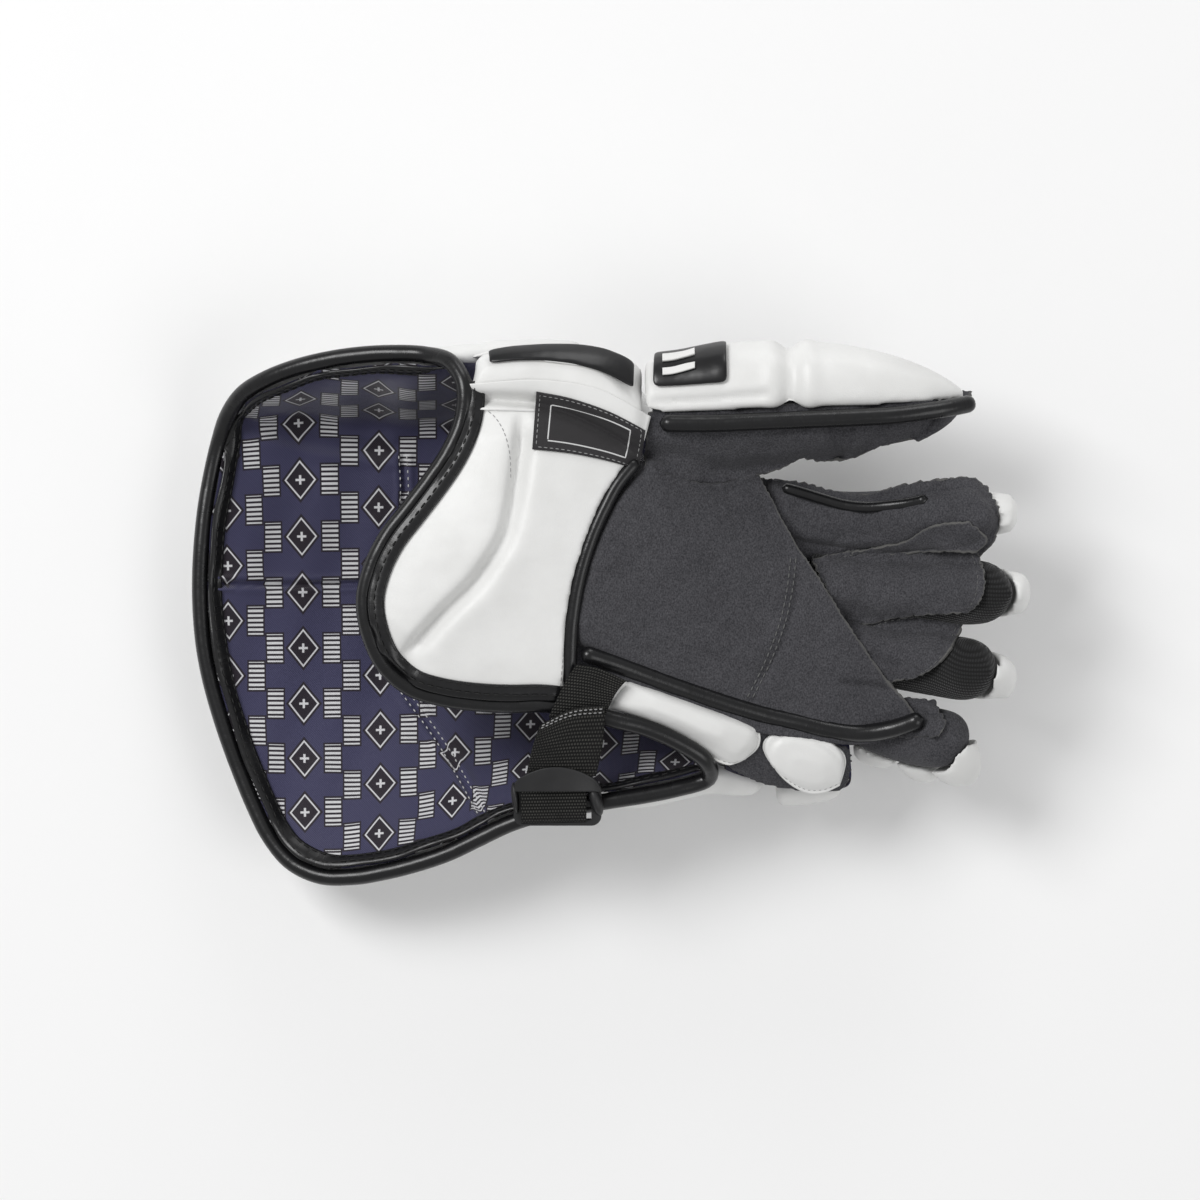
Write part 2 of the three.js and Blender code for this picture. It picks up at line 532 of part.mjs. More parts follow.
// A hollow stall: a cloth tube that is open at its root and closed at its tip.
function stall(surface, cloth, sides = 10, steps = 7) {
  const positions = [];
  const index = [];
  const layers = [[0, 1, 0], [0, 1 - 0.035, -cloth]];
  const id = (layer, j, i) => (layer * (steps + 1) + j) * sides + (i % sides);
  for (const [from, to, out] of layers)
    for (let j = 0; j <= steps; j++)
      for (let i = 0; i < sides; i++) {
        const t = mix(from, to, 1 - (1 - j / steps) ** 1.25);
        positions.push(surface(t, (i / sides) * 2 * Math.PI, out));
      }
  const tips = layers.map(([, to], layer) => {
    const middle = new THREE.Vector3();
    for (let i = 0; i < sides; i++) middle.addScaledVector(positions[id(layer, steps, i)], 1 / sides);
    return positions.push(middle) - 1;
  });
  for (let i = 0; i < sides; i++) {
    for (let j = 0; j < steps; j++) {
      index.push(id(0, j, i), id(0, j, i + 1), id(0, j + 1, i + 1));
      index.push(id(0, j, i), id(0, j + 1, i + 1), id(0, j + 1, i));
      index.push(id(1, j, i), id(1, j + 1, i + 1), id(1, j, i + 1));
      index.push(id(1, j, i), id(1, j + 1, i), id(1, j + 1, i + 1));
    }
    index.push(tips[0], id(0, steps, i), id(0, steps, i + 1), tips[1], id(1, steps, i + 1), id(1, steps, i));
    index.push(id(0, 0, i), id(1, 0, i), id(1, 0, i + 1), id(0, 0, i), id(1, 0, i + 1), id(0, 0, i + 1));
  }
  return solid(positions, index);
}

// A pad over part of a limb's back, from one angle to another, as thick as its table says. It gives the
// pad's lower face at side 0 and its upper face at side 1.
const SHOULDER = 0.35;
function padFaces(surface, { from, to, angles: [a0, a1], thick, spread, ends }) {
  return (u, v, side) => {
    const [t, angle] = [mix(from, to, v), mix(a0, a1, u)];
    if (!side) return surface(t, angle, PAD_GAP);
    const crown = mix(ends, 1, Math.min(smooth(v, 0, 0.25), smooth(1 - v, 0, 0.25)));
    const slope = mix(SHOULDER, 1, Math.min(smooth(u, 0, 0.3), smooth(1 - u, 0, 0.3)));
    return surface(t, angle * spread, PAD_GAP + thick(t) * crown * slope);
  };
}

// Fingers, from the first to the little one, curled up at their tips.
const DOWN = new THREE.Vector3(0, 0, -1);
const FINGERS = [
  { name: "index", skin: SEWN.suede, lean: 0.15,
    axis: [[0.4, 0.385, 0.455], [0.545, 0.327, 0.45], [0.705, 0.327, 0.49], [0.82, 0.338, 0.6],
      [0.905, 0.327, 0.74]],
    widths: [[0, 0.92], [0.3, 0.9], [0.6, 1], [0.8, 1.04], [1, 0.96]] },
  { name: "middle", skin: SEWN.mesh, lean: 0,
    axis: [[0.49, 0.125, 0.46], [0.6, 0.08, 0.455], [0.75, 0.065, 0.485], [0.865, 0.065, 0.6],
      [0.95, 0.06, 0.75]],
    widths: [[0, 0.87], [0.3, 0.87], [0.6, 0.99], [0.8, 1.05], [1, 1]] },
  { name: "ring", skin: SEWN.mesh, lean: -0.1,
    axis: [[0.565, -0.13, 0.455], [0.665, -0.175, 0.45], [0.78, -0.2, 0.5], [0.855, -0.215, 0.6],
      [0.905, -0.225, 0.71]],
    widths: [[0, 0.87], [0.3, 0.89], [0.6, 0.98], [0.8, 1.02], [1, 0.96]] },
  { name: "little", skin: SEWN.suede, lean: -0.7,
    axis: [[0.625, -0.385, 0.43], [0.69, -0.43, 0.435], [0.76, -0.46, 0.49], [0.805, -0.47, 0.56],
      [0.835, -0.475, 0.63]],
    widths: [[0, 0.99], [0.5, 1.04], [1, 0.96]] },
];
const FINGER_SPREAD = (50 * Math.PI) / 180;
const PAD_SPANS = [[0.02, 0.34, 0.5], [0.36, 0.64, 0.45], [0.66, 1, 0.7]];
const fingers = {};
for (const { name, skin, lean, axis, widths } of FINGERS) {
  const back = DOWN.clone().setY(lean).normalize();
  const width = shares(FINGER_WIDTH / 2, widths);
  const finger = limb({ axis, width, height: () => FINGER_HEIGHT, back, dome: 0.84 });
  fingers[name] = finger;
  piece(`${name}_stall`, stall(finger, STALL_CLOTH), skin);
  PAD_SPANS.forEach(([from, to, ends], i) => {
    const thick = (t) => FINGER_PAD * mix(1, 0.62, smooth(t, 0.6, 1));
    const angles = [-FINGER_SPREAD, FINGER_SPREAD];
    const faces = padFaces(finger, { from, to, angles, thick, spread: 0.62, ends });
    piece(`${name}_pad_${i + 1}`, slab(6, 4, faces), SEWN.white);
  });
}

// Suede patches face the grip side of the two fingers whose stalls are mesh, and a welt runs down the first
// finger.
const PATCH_SPREAD = (62 * Math.PI) / 180;
const PATCH_SPANS = { middle: [0.12, 0.7], ring: [0.1, 0.66] };
for (const [name, [from, to]] of Object.entries(PATCH_SPANS)) {
  const angle = (u) => Math.PI + mix(-1, 1, u) * PATCH_SPREAD;
  const skin = (u, v, side) => fingers[name](mix(from, to, v), angle(u), PAD_GAP + side * PATCH);
  piece(`${name}_patch`, slab(6, 5, skin), SEWN.suede);
}
const INDEX_WELT_ANGLE = (-125 * Math.PI) / 180;
const indexWeltPath = new THREE.CatmullRomCurve3(
  [0.03, 0.15, 0.3, 0.45, 0.6, 0.75].map((t) => fingers.index(t, INDEX_WELT_ANGLE, WELT_RADIUS + GAP)));
piece("index_welt", roll(indexWeltPath, WELT_RADIUS, 10, 6), SEWN.black);

// The thumb: a suede stall inside a long shell of foam that covers its outer side.
const OUTWARD = new THREE.Vector3(0, 1, 0);
const thumb = limb({
  axis: [[0.14, 0.69, 0.62], [0.295, 0.69, 0.63], [0.477, 0.702, 0.64], [0.66, 0.713, 0.65],
    [0.75, 0.724, 0.655], [0.835, 0.745, 0.66]],
  width: shares(THUMB_WIDTH / 2, [[0, 1], [0.5, 0.97], [0.8, 0.81], [1, 0.62]]),
  height: shares(THUMB_HEIGHT, [[0, 1.1], [0.2, 1.12], [0.45, 1.04], [0.7, 0.9], [0.85, 0.74], [1, 0.6]]),
  back: OUTWARD,
  dome: 0.88,
});
const thumbPad = shares(THUMB_PAD, [[0, 0.74], [0.12, 0.78], [0.33, 1.02], [0.42, 0.9], [0.55, 1],
  [0.75, 0.8], [0.92, 0.5], [1.04, 0.34]]);
piece("thumb_stall", stall(thumb, STALL_CLOTH, 12, 9), SEWN.suede);
const THUMB_ANGLES = [(-84 * Math.PI) / 180, (66 * Math.PI) / 180];
const thumbShell = padFaces(thumb, { from: 0.035, to: 1.03, angles: THUMB_ANGLES, thick: thumbPad,
  ends: 0.75, spread: 0.92 });
piece("thumb_shell", slab(8, 11, thumbShell), SEWN.white);
const weltAngle = (-95 * Math.PI) / 180;
const thumbWeltPath = new THREE.CatmullRomCurve3(
  [0.03, 0.2, 0.4, 0.6, 0.8, 0.95, 1.05].map((t) => thumb(t, weltAngle, ROLL_RADIUS + PAD_GAP)));
piece("thumb_welt", roll(thumbWeltPath, ROLL_RADIUS, 14), SEWN.black);

// Inlays of black leather: one on the side panel, one on the root of the thumb's shell.
const inlay = (surface, [s0, s1], [t0, t1]) => slab(5, 6, (u, v, side) =>
  offset(surface, GAP + side * INLAY)(mix(s0, s1, u), mix(t0, t1, v)));
piece("side_badge", inlay(panelOutside, [0.5, 0.88], [0.1, 0.92]), SEWN.black);
piece("thumb_badge", inlay((s, t) => thumbShell(s, t, 1), [0.14, 0.46], [0.03, 0.22]), SEWN.black);

// A woven label lies over the seam between the flap and the side panel.
const FLAP_END = 0.985;
piece("label", slab(5, 5, (u, v, side) => {
  const s = mix(0.8, 1.04, u);
  const p = offset(flapTop, GAP + side * LABEL)(Math.min(s, FLAP_END), mix(0.36, 0.97, v));
  p.y += (Math.max(s - FLAP_END, 0) * GLOVE_WIDTH) / 2;
  return p;
}), SEWN.black);

// The strap: webbing sewn under the palm's roll, over the flap's edge and the slit, to the buckle on the
// cuff's rim.
function webbing(path, turn, from, to, steps, lift) {
  const across = new THREE.Vector3(Math.cos(turn), Math.sin(turn), 0);
  return slab(2, steps, (u, v, side) => {
    const t = mix(from, to, v);
    const normal = new THREE.Vector3().crossVectors(across, path.getTangentAt(t)).normalize();
    if (normal.z < 0) normal.negate();
    return path.getPointAt(t).addScaledVector(across, (u - 0.5) * WEBBING_WIDTH)
      .addScaledVector(normal, lift + side * WEBBING);
  });
}
const strapPath = line([[0.02, -0.215, 0.835], [-0.022, -0.32, 0.83], [-0.045, -0.41, 0.81],
  [-0.062, -0.5, 0.75], [-0.076, -0.58, 0.69], [-0.082, -0.635, 0.662]]);
const STRAP_TURN = -0.05;
piece("strap_anchor", webbing(strapPath, STRAP_TURN, 0, 0.38, 4, WEBBING + GAP), SEWN.webbing);
piece("strap_band", webbing(strapPath, STRAP_TURN, 0.12, 1, 9, 0), SEWN.webbing);

// The slide buckle: a plastic frame with a rear bar that the strap ends on, a middle bar, and a front bar
// that holds a short loop of webbing from the cuff. It leans down to the front.
const BUCKLE_PLACE = at([-0.082, -0.7, 0.622]);
const BUCKLE_TILT = 0.2;
const half = BUCKLE_LENGTH / 2;
const cheekAt = (WEBBING_WIDTH + 2 * WEBBING_ROOM) / 2 + BUCKLE_CHEEK;
const slotWide = cheekAt - BUCKLE_CHEEK;
const slotDeep = (BUCKLE_LENGTH - 3 * BUCKLE_BAR) / 2;
function box(shape, [x0, y0], [x1, y1]) {
  return shape.moveTo(x0, y0).lineTo(x1, y0).lineTo(x1, y1).lineTo(x0, y1).closePath();
}
const frame = new THREE.Shape();
frame.moveTo(-cheekAt + BUCKLE_CHEEK, -half).lineTo(cheekAt - BUCKLE_CHEEK, -half);
frame.absarc(cheekAt - BUCKLE_CHEEK, -half + BUCKLE_CHEEK, BUCKLE_CHEEK, -Math.PI / 2, 0);
frame.absarc(cheekAt - BUCKLE_CHEEK, half - BUCKLE_CHEEK, BUCKLE_CHEEK, 0, Math.PI / 2);
frame.absarc(-cheekAt + BUCKLE_CHEEK, half - BUCKLE_CHEEK, BUCKLE_CHEEK, Math.PI / 2, Math.PI);
frame.absarc(-cheekAt + BUCKLE_CHEEK, -half + BUCKLE_CHEEK, BUCKLE_CHEEK, Math.PI, 1.5 * Math.PI);
for (const start of [-half + BUCKLE_BAR, BUCKLE_BAR / 2])
  frame.holes.push(box(new THREE.Path(), [-slotWide, start], [slotWide, start + slotDeep]));
const onStrap = (geometry) => geometry.rotateX(BUCKLE_TILT).translate(...BUCKLE_PLACE.toArray());
const moulded = { depth: BUCKLE_THICK, bevelEnabled: false, curveSegments: 3 };
const plate = new THREE.ExtrudeGeometry(frame, moulded).translate(0, 0, -BUCKLE_THICK / 2);
piece("buckle", onStrap(plate), SEWN.plastic);

const inner = BUCKLE_THICK / 2 + SMALL_GAP;
const outer = inner + WEBBING;
const loopFront = -half - SMALL_GAP;
const loop = new THREE.Shape();
const topEnd = -half + BUCKLE_BAR + WEBBING_ROOM;
const underEnd = -half + BUCKLE_BAR + slotDeep;
loop.moveTo(underEnd, -outer).lineTo(loopFront, -outer).lineTo(loopFront - WEBBING, -outer * 0.7);
loop.lineTo(loopFront - WEBBING, outer * 0.7).lineTo(loopFront, outer).lineTo(topEnd, outer);
loop.lineTo(topEnd, inner).lineTo(loopFront, inner).lineTo(loopFront, -inner);
loop.lineTo(underEnd, -inner).closePath();
const alongX = new THREE.Matrix4().makeBasis(new THREE.Vector3(0, 1, 0), new THREE.Vector3(0, 0, 1),
  new THREE.Vector3(1, 0, 0));
const fold = new THREE.ExtrudeGeometry(loop, { depth: WEBBING_WIDTH, bevelEnabled: false });
piece("buckle_loop", onStrap(fold.translate(0, 0, -WEBBING_WIDTH / 2).applyMatrix4(alongX)), SEWN.webbing);

// The origin is under the middle of the glove, on the surface that it lies on.
const extent = new THREE.Box3().setFromObject(glove);
const centre = extent.getCenter(new THREE.Vector3());
glove.position.set(-centre.x, -centre.y, -extent.min.z);

export default glove;
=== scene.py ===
import math

import bpy
import numpy as np
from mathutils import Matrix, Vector
from mathutils.bvhtree import BVHTree


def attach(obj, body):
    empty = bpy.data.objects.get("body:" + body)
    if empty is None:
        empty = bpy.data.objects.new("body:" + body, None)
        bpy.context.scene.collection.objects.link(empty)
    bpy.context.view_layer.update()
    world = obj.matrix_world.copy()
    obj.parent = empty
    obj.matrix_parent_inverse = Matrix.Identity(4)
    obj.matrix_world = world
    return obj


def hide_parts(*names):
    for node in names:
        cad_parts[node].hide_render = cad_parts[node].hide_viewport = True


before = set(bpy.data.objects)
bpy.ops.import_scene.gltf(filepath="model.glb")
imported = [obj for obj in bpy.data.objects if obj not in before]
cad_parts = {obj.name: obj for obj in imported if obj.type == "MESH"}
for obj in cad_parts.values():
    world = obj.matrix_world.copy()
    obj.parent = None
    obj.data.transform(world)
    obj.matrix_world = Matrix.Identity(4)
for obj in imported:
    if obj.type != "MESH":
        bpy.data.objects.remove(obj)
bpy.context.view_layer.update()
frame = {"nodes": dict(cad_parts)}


# The camera looks straight down on the palm through a long lens, with the fingertips to the right.
# The floor is pale paper, and two large soft lights and a bright room light the white leather evenly.
LENS_HEIGHT = 3.0
FIELD_WIDTH = 0.48
PALM_HEIGHT = 0.055
bpy.ops.object.select_all(action="DESELECT")
bpy.ops.object.camera_add(location=(-0.0038, 0.0045, PALM_HEIGHT + LENS_HEIGHT))
camera = bpy.context.object
camera.data.sensor_fit = "HORIZONTAL"
camera.data.sensor_width = 36
camera.data.lens = camera.data.sensor_width * LENS_HEIGHT / FIELD_WIDTH
camera.data.clip_end = 20
bpy.context.scene.camera = camera

for name, place, size, power in [
    ("key", (-1.6, 1.2, 2.4), 1.3, 58),
    ("fill", (1.9, -1.0, 2.4), 1.8, 22),
    ("edge", (0.6, 2.6, 0.9), 1.2, 14),
]:
    bpy.ops.object.light_add(type="AREA", location=place)
    lamp = bpy.context.object
    lamp.name = f"light_{name}"
    lamp.data.size = size
    lamp.data.energy = power
    lamp.rotation_euler = (Vector((0, 0, 0.04)) - Vector(place)).to_track_quat("-Z", "Y").to_euler()
room = bpy.data.worlds.new("room")
room.use_nodes = True
room.node_tree.nodes["Background"].inputs["Color"].default_value = (1, 1, 1, 1)
room.node_tree.nodes["Background"].inputs["Strength"].default_value = 0.44
bpy.context.scene.world = room
bpy.context.scene.view_settings.view_transform = "Standard"


class Thread:
    """One socket of a finish. Arithmetic on it adds the Math nodes that work it out."""

    def __init__(self, tree, socket):
        self.tree = tree
        self.socket = socket

    def node(self, kind, settings, sockets, output=0):
        made = self.tree.nodes.new(kind)
        for key, value in settings.items():
            if key == "stops":
                while len(made.color_ramp.elements) < len(value):
                    made.color_ramp.elements.new(0.5)
                for element, (place, shade) in zip(made.color_ramp.elements, value):
                    element.position = place
                    element.color = shade
            else:
                setattr(made, key, value)
        for key, value in sockets.items():
            if isinstance(value, Thread):
                self.tree.links.new(value.socket, made.inputs[key])
            else:
                made.inputs[key].default_value = value
        return Thread(self.tree, made.outputs[output])

    def math(self, operation, first, second=0.0, third=0.0):
        return self.node("ShaderNodeMath", {"operation": operation}, {0: first, 1: second, 2: third})

    def __add__(self, other):
        return self.math("ADD", self, other)

    def __radd__(self, other):
        return self.math("ADD", other, self)

    def __sub__(self, other):
        return self.math("SUBTRACT", self, other)

    def __rsub__(self, other):
        return self.math("SUBTRACT", other, self)

    def __mul__(self, other):
        return self.math("MULTIPLY", self, other)

    def __rmul__(self, other):
        return self.math("MULTIPLY", other, self)

    def __truediv__(self, other):
        return self.math("DIVIDE", self, other)

    def __rtruediv__(self, other):
        return self.math("DIVIDE", other, self)

    def __pow__(self, other):
        return self.math("POWER", self, other)

    def __mod__(self, other):
        return self.math("FLOORED_MODULO", self, other)

    def __abs__(self):
        return self.math("ABSOLUTE", self)

    def sine(self):
        return self.math("SINE", self)

    def floor(self):
        return self.math("FLOOR", self)

    def most(self, other):
        return self.math("MAXIMUM", self, other)

    def least(self, other):
        return self.math("MINIMUM", self, other)

    def step(self, low, high):
        """0 below low and 1 above high, smooth between. Falls instead where low is the greater."""
        return self.node("ShaderNodeMapRange", {"interpolation_type": "SMOOTHSTEP"},
                         {"Value": self, "From Min": low, "From Max": high})

    def blend(self, low, high):
        """The colour low where this is 0, and high where it is 1."""
        return self.node("ShaderNodeMix", {"data_type": "RGBA"}, {0: self, 6: low, 7: high}, 2)

    def noise(self, scale, detail=2.0, roughness=0.5):
        return self.node("ShaderNodeTexNoise", {}, {"Vector": self, "Scale": scale, "Detail": detail,
                                                     "Roughness": roughness})

    def cells(self, scale, feature="F1"):
        return self.node("ShaderNodeTexVoronoi", {"feature": feature}, {"Vector": self, "Scale": scale})

    def stretched(self, x, y, z=1.0):
        return self.node("ShaderNodeVectorMath", {"operation": "MULTIPLY"}, {0: self, 1: (x, y, z)})

    def parts(self):
        return [self.node("ShaderNodeSeparateXYZ", {}, {0: self}, i) for i in range(3)]


def grey(value, blue=0.0):
    return (value, value, value + blue, 1)


class Finish:
    """A material for the glove: its shader, its constants, and the places a pattern is drawn from."""

    def __init__(self, name, roughness, **constants):
        self.material = bpy.data.materials.new(name)
        self.material.use_nodes = True
        self.tree = self.material.node_tree
        self.shader = self.tree.nodes["Principled BSDF"]
        self.shader.inputs["Roughness"].default_value = roughness
        for key, value in constants.items():
            self.shader.inputs[key.replace("_", " ")].default_value = value
        start = Thread(self.tree, None)
        self.place = start.node("ShaderNodeTexCoord", {}, {}, "Object")
        self.cloth = start.node("ShaderNodeUVMap", {"uv_map": "cloth"}, {})

    def wear(self, socket, value):
        self.tree.links.new(value.socket, self.shader.inputs[socket])

    def raise_by(self, height, distance, strength=1.0):
        bump = height.node("ShaderNodeBump", {}, {"Height": height, "Distance": distance, "Strength": strength})
        self.wear("Normal", bump)


def white_leather():
    """Smooth coated leather over foam: off-white, with a fine grain and slow dents from handling."""
    finish = Finish("white_leather", 0.4, Specular_IOR_Level=0.45)
    mottle = finish.place.noise(38, 3)
    finish.wear("Base Color", mottle.step(0.25, 0.75).blend((0.69, 0.69, 0.678, 1), (0.76, 0.76, 0.75, 1)))
    grain = finish.place.cells(1500, "DISTANCE_TO_EDGE")
    finish.wear("Roughness", mottle * 0.12 + 0.33)
    dents = finish.place.noise(120, 2)
    finish.raise_by(grain.step(0.0, 0.25) * 0.12 + dents * 1.2, 0.0004, 0.5)
    return finish.material


def black_leather():
    """Glossy coated leather turned over a cord, with short creases across it."""
    finish = Finish("black_leather", 0.3, Specular_IOR_Level=0.42)
    creases = finish.cloth.stretched(420, 60).noise(1.0, 3, 0.6)
    slow = finish.place.noise(90, 2)
    finish.wear("Base Color", slow.blend((0.004, 0.004, 0.0045, 1), (0.010, 0.010, 0.011, 1)))
    finish.wear("Roughness", creases * 0.18 + 0.2)
    finish.raise_by(creases * 0.35 + slow * 1.5, 0.0005, 0.45)
    return finish.material


def suede():
    """Grey synthetic suede: a short speckled nap, brushed lighter and darker in patches."""
    finish = Finish("suede", 0.95, Specular_IOR_Level=0.12, Sheen_Weight=0.08, Sheen_Roughness=0.5)
    nap = finish.place.noise(1500, 2, 0.7)
    fibres = finish.place.stretched(1.0, 0.35, 1.0).noise(2600, 1, 0.6)
    brushed = finish.place.noise(45, 3, 0.6)
    speckle = (nap * 0.6 + fibres * 0.4).step(0.3, 0.7)
    dark = brushed.blend((0.022, 0.022, 0.025, 1), (0.036, 0.036, 0.040, 1))
    pale = brushed.blend((0.068, 0.067, 0.074, 1), (0.098, 0.097, 0.105, 1))
    colour = dark.node("ShaderNodeMix", {"data_type": "RGBA"}, {0: speckle, 6: dark, 7: pale}, 2)
    cut_edge = finish.place.node("ShaderNodeAttribute", {"attribute_name": "cut_edge"}, {}, "Fac")
    edge = (cut_edge * (nap * 0.8 + 0.6)).least(1.0)
    colour = dark.node("ShaderNodeMix", {"data_type": "RGBA"}, {0: edge, 6: colour, 7: (0.12, 0.118, 0.114, 1)}, 2)
    finish.wear("Base Color", colour)
    finish.raise_by(nap * 0.7 + finish.place.noise(210, 3) * 1.4, 0.0005, 0.6)
    return finish.material


WHITE = white_leather()
BLACK = black_leather()
SUEDE = suede()


def copy_of(node, name):
    """A copy of a solid's mesh as one joined skin, with its flat panels as four-sided faces."""
    bpy.ops.object.select_all(action="DESELECT")
    mesh = frame["nodes"][node].data.copy()
    mesh.name = name
    piece = bpy.data.objects.new(name, mesh)
    bpy.context.collection.objects.link(piece)
    piece.select_set(True)
    bpy.context.view_layer.objects.active = piece
    bpy.ops.object.mode_set(mode="EDIT")
    bpy.ops.mesh.select_all(action="SELECT")
    bpy.ops.mesh.remove_doubles(threshold=2e-5)
    bpy.ops.mesh.tris_convert_to_quads(face_threshold=math.radians(60), shape_threshold=math.radians(60))
    bpy.ops.object.mode_set(mode="OBJECT")
    return piece


def apply(piece, kind, **settings):
    """Puts a modifier on a piece and applies it."""
    bpy.ops.object.select_all(action="DESELECT")
    piece.select_set(True)
    bpy.context.view_layer.objects.active = piece
    modifier = piece.modifiers.new(kind.lower(), kind)
    for key, value in settings.items():
        setattr(modifier, key, value)
    bpy.ops.object.modifier_apply(modifier=modifier.name)


def points_of(piece):
    places = np.empty(len(piece.data.vertices) * 3, dtype=np.float32)
    piece.data.vertices.foreach_get("co", places)
    return places.reshape(-1, 3).astype(float)


def normals_of(piece):
    normals = np.empty(len(piece.data.vertices) * 3, dtype=np.float32)
    piece.data.vertex_normals.foreach_get("vector", normals)
    return normals.reshape(-1, 3).astype(float)


def move_to(piece, places):
    piece.data.vertices.foreach_set("co", np.asarray(places, dtype=np.float32).ravel())
    piece.data.update()


def padding(node, name, voxel=0.0018, rounds=8, levels=2):
    """Soft foam under leather: the solid's shape with its edges rounded and its facets drawn smooth."""
    piece = copy_of(node, name)
    apply(piece, "SUBSURF", levels=levels, render_levels=levels)
    apply(piece, "REMESH", mode="VOXEL", voxel_size=voxel, use_smooth_shade=True)
    apply(piece, "SMOOTH", factor=0.5, iterations=rounds)
    return piece


def fit(piece, material, slot, *nodes, fill=None):
    """Gives a piece its material, and fixes it to the glove in the place of the solids that it stands for."""
    piece.data.materials.clear()
    piece.data.materials.append(material)
    for face in piece.data.polygons:
        face.use_smooth = True
    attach(piece, "root")
    if nodes:
        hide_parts(*nodes)


def distance_to(places, line):
    """How far each place is from a line of (x, y) points, seen from above, and how far along the line it lies."""
    nearest = np.full(len(places), 1e9)
    along = np.zeros(len(places))
    walked = 0.0
    for a, b in zip(line[:-1], line[1:]):
        run = b - a
        length = np.linalg.norm(run)
        share = np.clip(((places[:, :2] - a) @ run) / length**2, 0, 1)
        off = np.linalg.norm(places[:, :2] - a - share[:, None] * run, axis=1)
        closer = off < nearest
        nearest[closer] = off[closer]
        along[closer] = walked + share[closer] * length
        walked += length
    return nearest, along / walked


def press(piece, line, width, depth, lift=0.0, facing=0.2):
    """Presses a channel of that width and depth into the upper face along a line, with raised lips beside it."""
    places = points_of(piece)
    normals = normals_of(piece)
    off, along = distance_to(places, curved(line))
    fade = np.clip(np.minimum(along, 1 - along) / 0.06, 0, 1)
    channel = np.exp(-((off / width) ** 2))
    lips = np.exp(-(((off - 2.2 * width) / width) ** 2))
    push = (-depth * channel + lift * lips) * fade * (normals[:, 2] > facing)
    move_to(piece, places + normals * push[:, None])


def curved(points, step=0.0015, closed=False):
    """A smooth line through points in millimetres, as points in metres one step apart."""
    p = np.array(points, dtype=float) / 1000
    if closed:
        p = np.vstack([p[-1], p, p[0], p[1]])
    else:
        p = np.vstack([2 * p[0] - p[1], p, 2 * p[-1] - p[-2]])
    fine = []
    for a, b, c, d in zip(p[:-3], p[1:-2], p[2:-1], p[3:]):
        for t in np.linspace(0, 1, 16, endpoint=False):
            fine.append(0.5 * (2 * b + (c - a) * t + (2 * a - 5 * b + 4 * c - d) * t**2
                               + (3 * b - a - 3 * c + d) * t**3))
    fine.append(p[-2])
    return spaced(np.array(fine), step)


def spaced(line, step):
    """The same line with its points one step apart."""
    walked = np.concatenate([[0], np.cumsum(np.linalg.norm(np.diff(line, axis=0), axis=1))])
    count = max(int(round(walked[-1] / step)), 2)
    places = np.linspace(0, walked[-1], count + 1)
    return np.column_stack([np.interp(places, walked, line[:, i]) for i in range(line.shape[1])])


def skin(name, points, faces, cloth=None):
    """A new mesh piece at the origin, with a cloth map in metres where a pattern follows its surface."""
    mesh = bpy.data.meshes.new(name)
    mesh.from_pydata([tuple(p) for p in points], [], faces)
    if cloth is not None:
        layer = mesh.uv_layers.new(name="cloth")
        corners = np.empty(len(mesh.loops), dtype=np.int32)
        mesh.loops.foreach_get("vertex_index", corners)
        layer.data.foreach_set("uv", np.asarray(cloth, dtype=np.float32)[corners].ravel())
    piece = bpy.data.objects.new(name, mesh)
    bpy.context.collection.objects.link(piece)
    return piece


def sides_of(line, up, closed=False):
    """For each point of a line: its direction, the side to its right, and the way its top faces."""
    if closed:
        run = np.roll(line, -1, axis=0) - np.roll(line, 1, axis=0)
    else:
        run = np.gradient(line, axis=0)
    run /= np.linalg.norm(run, axis=1)[:, None]
    up = np.broadcast_to(np.array(up, dtype=float), line.shape)
    right = np.cross(run, up)
    right /= np.linalg.norm(right, axis=1)[:, None]
    return run, right, np.cross(right, run)


def swept(name, line, profile, up=(0, 0, 1), closed=False, scale=None):
    """A profile of (right, up) points drawn along a line. Both ends are closed where the line is open."""
    profile = np.array(profile, dtype=float)
    _, right, top = sides_of(line, up, closed)
    count, sides = len(line), len(profile)
    size = np.ones(count) if scale is None else scale
    rings = (line[:, None, :] + right[:, None, :] * (profile[None, :, 0, None] * size[:, None, None])
             + top[:, None, :] * (profile[None, :, 1, None] * size[:, None, None]))
    points = rings.reshape(-1, 3)
    walked = np.concatenate([[0], np.cumsum(np.linalg.norm(np.diff(line, axis=0), axis=1))])
    round_it = np.concatenate([[0], np.cumsum(np.linalg.norm(np.diff(profile, axis=0), axis=1))])
    cloth = np.stack(np.broadcast_arrays(walked[:, None], round_it[None, :]), axis=-1).reshape(-1, 2)
    faces = []
    for i in range(count if closed else count - 1):
        for j in range(sides):
            a, b = i * sides, ((i + 1) % count) * sides
            k = (j + 1) % sides
            faces.append((a + j, a + k, b + k, b + j))
    if not closed:
        points = np.vstack([points, line[0], line[-1]])
        cloth = np.vstack([cloth, [0, 0], [walked[-1], 0]])
        first, last = count * sides, count * sides + 1
        for j in range(sides):
            k = (j + 1) % sides
            faces.append((first, k, j))
            faces.append((last, (count - 1) * sides + j, (count - 1) * sides + k))
    piece = skin(name, points, faces, cloth)
    outward(piece)
    return piece


def outward(piece):
    """Turns a closed piece's faces outwards."""
    bpy.ops.object.select_all(action="DESELECT")
    piece.select_set(True)
    bpy.context.view_layer.objects.active = piece
    bpy.ops.object.mode_set(mode="EDIT")
    bpy.ops.mesh.select_all(action="SELECT")
    bpy.ops.mesh.normals_make_consistent(inside=False)
    bpy.ops.object.mode_set(mode="OBJECT")


